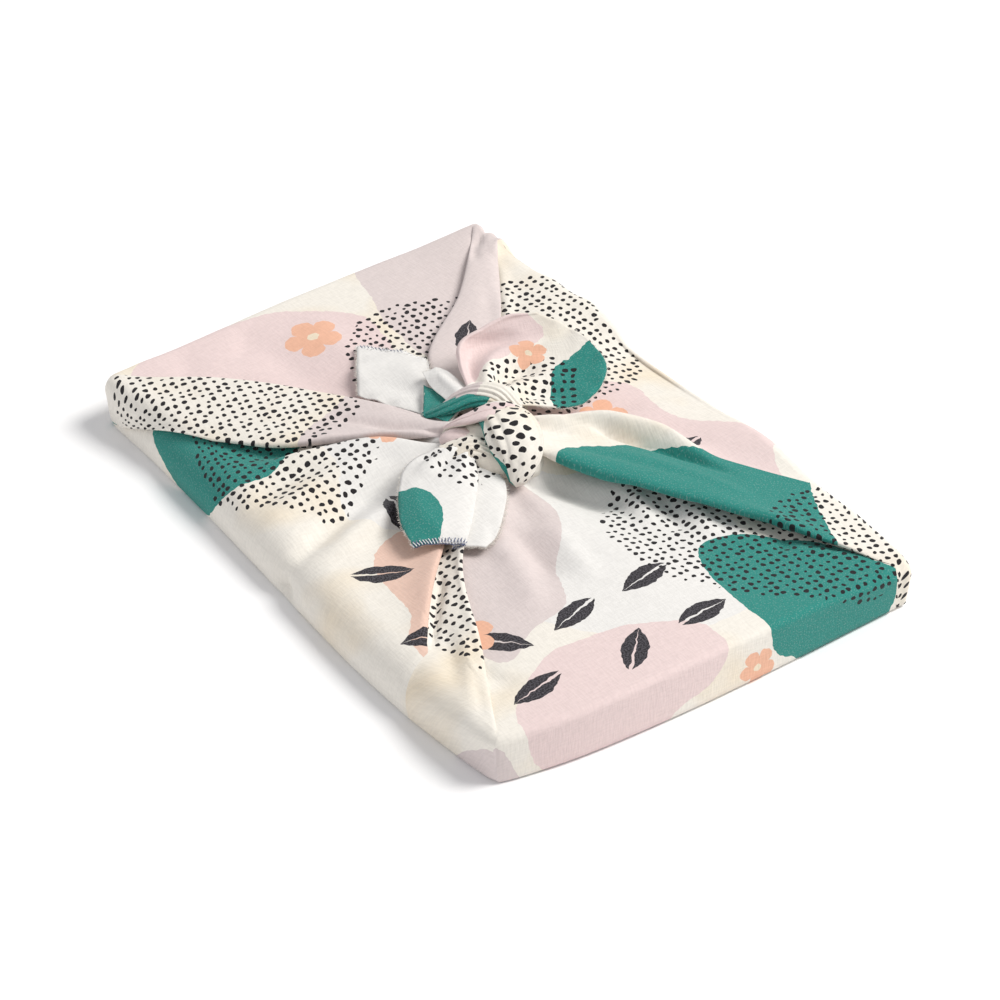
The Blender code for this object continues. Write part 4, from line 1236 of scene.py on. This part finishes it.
# Fields of colour, later ones over earlier ones. u and v are measured on the flat cloth
# from its middle, or along and round a strand, or across and along an end, of the knot.
Field = namedtuple("Field", "u v half_u half_v turn colour piece", defaults=(None, None))
FIELDS = (
    Field(-30, -206, 70, 44, 5, MILK),
    Field(84, -186, 70, 52, -15, PEACH),
    Field(-100, -146, 56, 44, 20, EMERALD),
    Field(132, -122, 44, 32, 10, LILAC),
    Field(246, 10, 62, 52, 0, MILK),
    Field(276, -50, 64, 40, 25, LILAC),
    Field(174, -42, 34, 44, 0, BLUSH),
    Field(184, 56, 48, 32, -20, EMERALD),
    Field(244, 190, 60, 44, 45, EMERALD),
    Field(50, 176, 70, 46, 0, BLUSH),
    Field(122, 196, 48, 36, 0, MILK),
    Field(-240, 182, 90, 44, 135, LILAC),
    Field(-236, -50, 74, 60, 0, BLUSH),
    Field(-222, 66, 60, 52, 0, LILAC),
    Field(-280, -236, 54, 60, 45, LILAC),
    Field(24, 13, 34, 3, -2, EMERALD, "knot_lobe"),
    Field(26, 8, 34, 6, 0, BLUSH, "knot_strap"),
    Field(12, 10, 20, 16, 0, EMERALD, "knot_back_turn"),
    Field(8, 12, 12, 16, 0, LILAC, "knot_collar"),
    Field(6, 8, 14, 14, 0, BLUSH, "knot_bud"),
    Field(0, 22, 60, 44, 0, MILK, "end_front"),
    Field(-22, 52, 18, 26, 20, EMERALD, "end_front"),
    Field(-26, 20, 22, 44, -10, BLUSH, "end_back"),
    Field(34, 56, 26, 30, 20, EMERALD, "end_back"),
    Field(0, 30, 80, 80, 0, MILK, "end_left"),
    Field(0, 20, 60, 60, 0, MILK, "end_small"),
    Field(0, 16, 60, 60, 0, EMERALD, "end_small_under"),
)

# Where the small dots, the leaves and the blossoms lie. A blossom's halves are its radius.
DOTTED = (
    Field(-74, -166, 60, 40, 10),
    Field(232, 58, 60, 44, -20),
    Field(190, 136, 50, 40, 45),
    Field(256, -200, 76, 34, -45),
    Field(-60, 168, 60, 46, 0),
    Field(-266, 34, 56, 60, 0),
    Field(-214, -167, 56, 44, 45),
    Field(30, 24, 26, 9, 0, piece="knot_lobe"),
    Field(20, 15, 28, 5, 0, piece="knot_strap"),
    Field(12, 14, 26, 24, 0, piece="knot_front_turn"),
    Field(18, 24, 20, 20, 0, piece="end_back"),
    Field(6, 6, 22, 13, 0, piece="end_front"),
)
LEAFY = (
    Field(66, -176, 78, 46, 0),
    Field(210, -40, 50, 60, 0),
    Field(-256, 204, 70, 34, 135),
    Field(66, 180, 66, 40, 0),
    Field(-240, -80, 62, 40, 0),
)
BLOSSOMS = (
    Field(236, -76, 12, 12, 10),
    Field(156, 20, 9, 9, 40),
    Field(-34, -196, 9, 9, 25),
    Field(-206, -14, 13, 13, 0),
    Field(-268, -60, 9, 9, 30),
    Field(0, 166, 11, 11, 0),
    Field(-3, 42, 8, 8, 0, piece="end_back"),
)
PETALS = 5
PETAL_NOTCH, PETAL_TIP = 0.55, 1.0  # a blossom's reach between and along its petals
EYE = 0.2  # of a blossom, as a share of its radius
DOT_PITCH, DOT_SCATTER = 4.0, 0.35
DOT_RADIUS, DOT_GROWTH = 0.81, 0.432  # of the smallest dot, and what the largest adds to it
LEAF_PITCH, LEAF_SCATTER = 37.0, 0.3
LEAF_LENGTH, LEAF_WIDTH = 27.0, 11.0
LEAF_RIB, LEAF_RIB_TAPER = 0.8, 0.4  # its bare rib's width half way, and how that narrows
EDGE_WAVE, EDGE_WAVE_PITCH = 34.0, 62.0  # how far a field's edge wanders
EDGE_GRIT, EDGE_GRIT_PITCH = 1.5, 3.6  # and how rough it is
GROUND_PITCH, GROUND_WARMS = 46.0, (0.5, 0.8)  # slow clouds, where cream turns to straw
FLECK_PITCH, FLECKS, FLECK_SHARE = 0.7, (0.6, 0.7), 0.12  # grain, with faint unprinted specks
LEAF_WEAR = (0.4, 0.6)  # the same grain mottles the leaves


def placed(tree, at, field):
    """The pattern's coordinates in a field's own frame, where its edge is 1 away."""
    u, v, turn = field.u, field.v, field.turn
    if field.piece:
        (u, v), = turned([(u, v)], KNOT_CLOTH_TURN, (STRANDS | ENDS)[field.piece].cloth)
        turn += KNOT_CLOTH_TURN
    frame_of = {"Vector": at, "Location": (u, v, 0), "Rotation": (0, 0, math.radians(turn))}
    frame_of["Scale"] = (field.half_u, field.half_v, 1)
    return add(tree, "Mapping", frame_of, vector_type="TEXTURE")


def within(tree, at, fields):
    """1 inside any of the fields."""
    nearest = None
    for field in fields:
        away = add(tree, "VectorMath", (placed(tree, at, field),), "Value", operation="LENGTH")
        nearest = away if nearest is None else add(tree, "Math", (nearest, away), operation="MINIMUM")
    return add(tree, "Math", (nearest, 1.0), operation="LESS_THAN")


def wander(tree, at, pitch, reach):
    """A push one way or another by noise, for drawn rather than ruled edges."""
    noise_at = {"Vector": at, "Scale": 1 / pitch, "Detail": 1.0}
    swirl = add(tree, "TexNoise", noise_at, "Color", noise_dimensions="2D")
    centred = (swirl, (reach, reach, 0.0), (-reach / 2, -reach / 2, 0.0))
    return add(tree, "VectorMath", centred, operation="MULTIPLY_ADD")


def scattered(tree, at, push, pitch, scatter, fields):
    """Cells of a scattered pattern, and 1 for a cell whose middle is in one of the fields."""
    cells = {"Vector": at, "Scale": 1 / pitch, "Randomness": scatter}
    cell = add(tree, "TexVoronoi", cells, voronoi_dimensions="2D").node.outputs
    middle = add(tree, "VectorMath", (cell["Position"], push), operation="ADD")
    return cell, within(tree, middle, fields)


def dots(tree, at, push):
    """1 inside rows of small round dots of uneven size, where they lie in a dotted field."""
    cell, here = scattered(tree, at, push, DOT_PITCH, DOT_SCATTER, DOTTED)
    chance = add(tree, "SeparateColor", (cell["Color"],), "Red")
    sizes = (chance, DOT_GROWTH / DOT_PITCH, DOT_RADIUS / DOT_PITCH)
    size = add(tree, "Math", sizes, operation="MULTIPLY_ADD")
    inside = add(tree, "Math", (cell["Distance"], size), operation="LESS_THAN")
    return add(tree, "Math", (inside, here), operation="MULTIPLY")


def leaves(tree, at, push):
    """1 inside scattered leaves, pointed at both ends and split by a bare rib."""
    cell, here = scattered(tree, at, push, LEAF_PITCH, LEAF_SCATTER, LEAFY)
    chance = add(tree, "SeparateColor", (cell["Color"],), "Green")
    own = (cell["Position"], (-1, -1, 0), at)
    local = add(tree, "VectorMath", own, operation="MULTIPLY_ADD")
    angle = add(tree, "Math", (chance, 2 * math.pi), operation="MULTIPLY")
    spun = add(tree, "VectorRotate", {"Vector": local, "Angle": angle}, rotation_type="Z_AXIS")
    part = add(tree, "SeparateXYZ", (spun,)).node.outputs
    x = add(tree, "Math", (part["X"], 2 / LEAF_LENGTH), operation="MULTIPLY")
    y = add(tree, "Math", (part["Y"],), operation="ABSOLUTE")
    squared = add(tree, "Math", (x, x), operation="MULTIPLY")
    reach = add(tree, "Math", (squared, LEAF_WIDTH / 2, y), operation="MULTIPLY_ADD")
    inside = add(tree, "Math", (reach, LEAF_WIDTH / 2), operation="LESS_THAN")
    from_rib = add(tree, "Math", (x, LEAF_RIB_TAPER, y), operation="MULTIPLY_ADD")
    off_rib = add(tree, "Math", (from_rib, LEAF_RIB / 2), operation="GREATER_THAN")
    blade = add(tree, "Math", (inside, off_rib), operation="MULTIPLY")
    return add(tree, "Math", (blade, here), operation="MULTIPLY")


def blossom(tree, at, field):
    """1 inside a round-petalled blossom, and 1 inside its eye."""
    local = placed(tree, at, field)
    part = add(tree, "SeparateXYZ", (local,)).node.outputs
    angle = add(tree, "Math", (part["Y"], part["X"]), operation="ARCTAN2")
    wave = add(tree, "Math", (angle, PETALS / 2), operation="MULTIPLY")
    for bend in ("COSINE", "ABSOLUTE", "SQRT"):
        wave = add(tree, "Math", (wave,), operation=bend)
    reach = (wave, PETAL_TIP - PETAL_NOTCH, PETAL_NOTCH)
    rim = add(tree, "Math", reach, operation="MULTIPLY_ADD")
    away = add(tree, "VectorMath", (local,), "Value", operation="LENGTH")
    return [add(tree, "Math", (away, edge), operation="LESS_THAN") for edge in (rim, EYE)]


def make_print():
    """The print as a node group: cloth coordinates in, colour out."""
    tree = bpy.data.node_groups.new("cloth_print", "ShaderNodeTree")
    tree.interface.new_socket("Cloth mm", in_out="INPUT", socket_type="NodeSocketVector")
    tree.interface.new_socket("Colour", in_out="OUTPUT", socket_type="NodeSocketColor")
    flat = add(tree, "NodeGroupInput")
    grit = wander(tree, flat, EDGE_GRIT_PITCH, EDGE_GRIT)
    push = wander(tree, flat, EDGE_WAVE_PITCH, EDGE_WAVE)
    gritty = add(tree, "VectorMath", (flat, grit), operation="ADD")
    drawn = add(tree, "VectorMath", (gritty, push), operation="ADD")
    cloud, grain = (
        add(tree, "TexNoise", {"Vector": flat, "Scale": 1 / pitch, "Detail": detail}, noise_dimensions="2D")
        for pitch, detail in ((GROUND_PITCH, 2.0), (FLECK_PITCH, 1.0))
    )
    warm, bare, worn = (
        add(tree, "MapRange", {"Value": value, "From Min": low, "From Max": high, "To Max": most})
        for value, (low, high), most in (
            (cloud, GROUND_WARMS, 1.0),
            (grain, FLECKS, FLECK_SHARE),
            (grain, LEAF_WEAR, 1.0),
        )
    )
    leafy = {MIX_SHARE: worn, MIX_UNDER: srgb(INK), MIX_OVER: srgb(CHARCOAL)}
    leaf = add(tree, "Mix", leafy, MIXED, data_type="RGBA")

    # Where each layer of colour shows, from the ground up, and the colour.
    layers = [(warm, srgb(STRAW))]
    layers += [(within(tree, drawn, [field]), srgb(field.colour)) for field in FIELDS]
    layers += [
        (bare, srgb(MILK)),
        (leaves(tree, gritty, push), leaf),
        (dots(tree, gritty, push), srgb(INK)),
    ]
    for field in BLOSSOMS:
        layers += zip(blossom(tree, gritty, field), (srgb(APRICOT), srgb(STRAW)))
    colour = srgb(CREAM)
    for share, paint in layers:
        laid = {MIX_SHARE: share, MIX_UNDER: colour, MIX_OVER: paint}
        colour = add(tree, "Mix", laid, MIXED, data_type="RGBA")
    tree.links.new(colour, tree.nodes.new("NodeGroupOutput").inputs[0])
    return tree


# --------------------------------------------------------------------------------------
# Materials
# --------------------------------------------------------------------------------------

COTTON = {"Roughness": 0.88, "Specular IOR Level": 0.25, "Sheen Weight": 0.12, "Sheen Roughness": 0.5}
SPUN_THREAD = {"Roughness": 0.9, "Specular IOR Level": 0.2, "Sheen Weight": 0.2}
REVERSE_PRINT = 0.25  # how much of the print shows through to the reverse
THREAD = 0.9  # real threads are 0.4 mm apart, which is too fine to show
SLUB = 5.0  # how long a thicker stretch of a thread is
WEAVE_RELIEF = (0.7, 1.3)  # the low and high ends of the two threads' noise together
WEAVE_PAINTED_SHADE = (0.945, 1.03)  # painted shade and painted highlight: the cloth's brightness where the weave lies low and where it stands high
WEAVE_DEPTH, WEAVE_STRENGTH = 0.3, 0.35  # of its bump
MOTTLE_PITCH = 2.0  # a stitching thread's twist, coarse enough to show
MOTTLE_RELIEF, MOTTLE_SHADE = (0.3, 0.7), (0.85, 1.05)


def shaded(tree, colour, by, relief, shade):
    """The colour made darker and lighter: relief's two values get shade's two brightnesses. On cotton this
    is painted shade and highlight on the weave, on thread its mottle.
    """
    ends = {"From Min": relief[0], "From Max": relief[1], "To Min": shade[0], "To Max": shade[1]}
    level = add(tree, "MapRange", {"Value": by, **ends})
    tint = add(tree, "CombineXYZ", (level, level, level))
    layers = {MIX_SHARE: 1.0, MIX_UNDER: colour, MIX_OVER: tint}
    return add(tree, "Mix", layers, MIXED, data_type="RGBA", blend_type="MULTIPLY")


def make_cotton(name, pattern, print_share):
    """Cotton in a plain weave, printed on the face: a matt cloth with a faint bloom, and painted shade and
    highlight on the weave's relief.
    """
    material, shader = new_material(name, COTTON)
    tree = material.node_tree
    uv = add(tree, "UVMap", uv_map="cloth")
    flat = add(tree, "VectorMath", {0: uv, "Scale": 1 / MM}, operation="SCALE")
    printed = add(tree, "Group", (flat,), node_tree=pattern)
    layers = {MIX_SHARE: print_share, MIX_UNDER: srgb(UNPRINTED), MIX_OVER: printed}
    cloth = add(tree, "Mix", layers, MIXED, data_type="RGBA")
    relief = 0.0
    for along in ((1 / THREAD, 1 / SLUB), (1 / SLUB, 1 / THREAD)):
        stretched = add(tree, "Mapping", {"Vector": flat, "Scale": (*along, 1.0)})
        noise_at = {"Vector": stretched, "Scale": 1.0, "Detail": 2.0}
        thread = add(tree, "TexNoise", noise_at, noise_dimensions="2D")
        relief = add(tree, "Math", (relief, thread), operation="ADD")
    # Painted shade and painted highlight on the weave: the colour is darker where the relief lies low and
    # lighter where it stands high, the same relief that the bump below uses.
    colour = shaded(tree, cloth, relief, WEAVE_RELIEF, WEAVE_PAINTED_SHADE)
    tree.links.new(colour, shader.inputs["Base Color"])
    bump = {"Height": relief, "Strength": WEAVE_STRENGTH, "Distance": WEAVE_DEPTH * MM}
    tree.links.new(add(tree, "Bump", bump), shader.inputs["Normal"])
    return material


def make_thread_material(name, colour):
    """Spun cotton thread: matt, with a soft bloom and a twist too fine to show."""
    material, shader = new_material(name, SPUN_THREAD)
    tree = material.node_tree
    at = add(tree, "TexCoord", out="Object")
    mottle = add(tree, "TexNoise", {"Vector": at, "Scale": 1 / (MOTTLE_PITCH * MM), "Detail": 1.0})
    mottled = shaded(tree, srgb(colour), mottle, MOTTLE_RELIEF, MOTTLE_SHADE)
    tree.links.new(mottled, shader.inputs["Base Color"])
    return material


# --------------------------------------------------------------------------------------
# Dressing the frame
# --------------------------------------------------------------------------------------


def main():
    make_camera()
    make_light()
    make_floor()
    pattern = make_print()
    face = make_cotton("printed_cotton_face", pattern, 1.0)
    reverse = make_cotton("printed_cotton_reverse", pattern, REVERSE_PRINT)
    filled = [make_body(), *(make_strand(name, strand) for name, strand in STRANDS.items())]
    ends = {name: make_end(name, end) for name, end in ENDS.items()}
    spun = {key: make_thread_material(f"{key}_cotton_thread", hue) for key, hue in THREAD_COLOURS.items()}
    tree = make_thread_tree()
    edges = {name: make_threads(name, row, tree, spun[row.finish]) for name, row in THREADS.items()}
    for piece in (*filled, *ends.values()):
        piece.data.materials.append(face)
        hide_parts(NODE)
    for piece in (*filled, *ends.values(), *edges.values()):
        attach(piece, BODY)
    for name, piece in ends.items():
        piece.data.materials.append(reverse)


main()
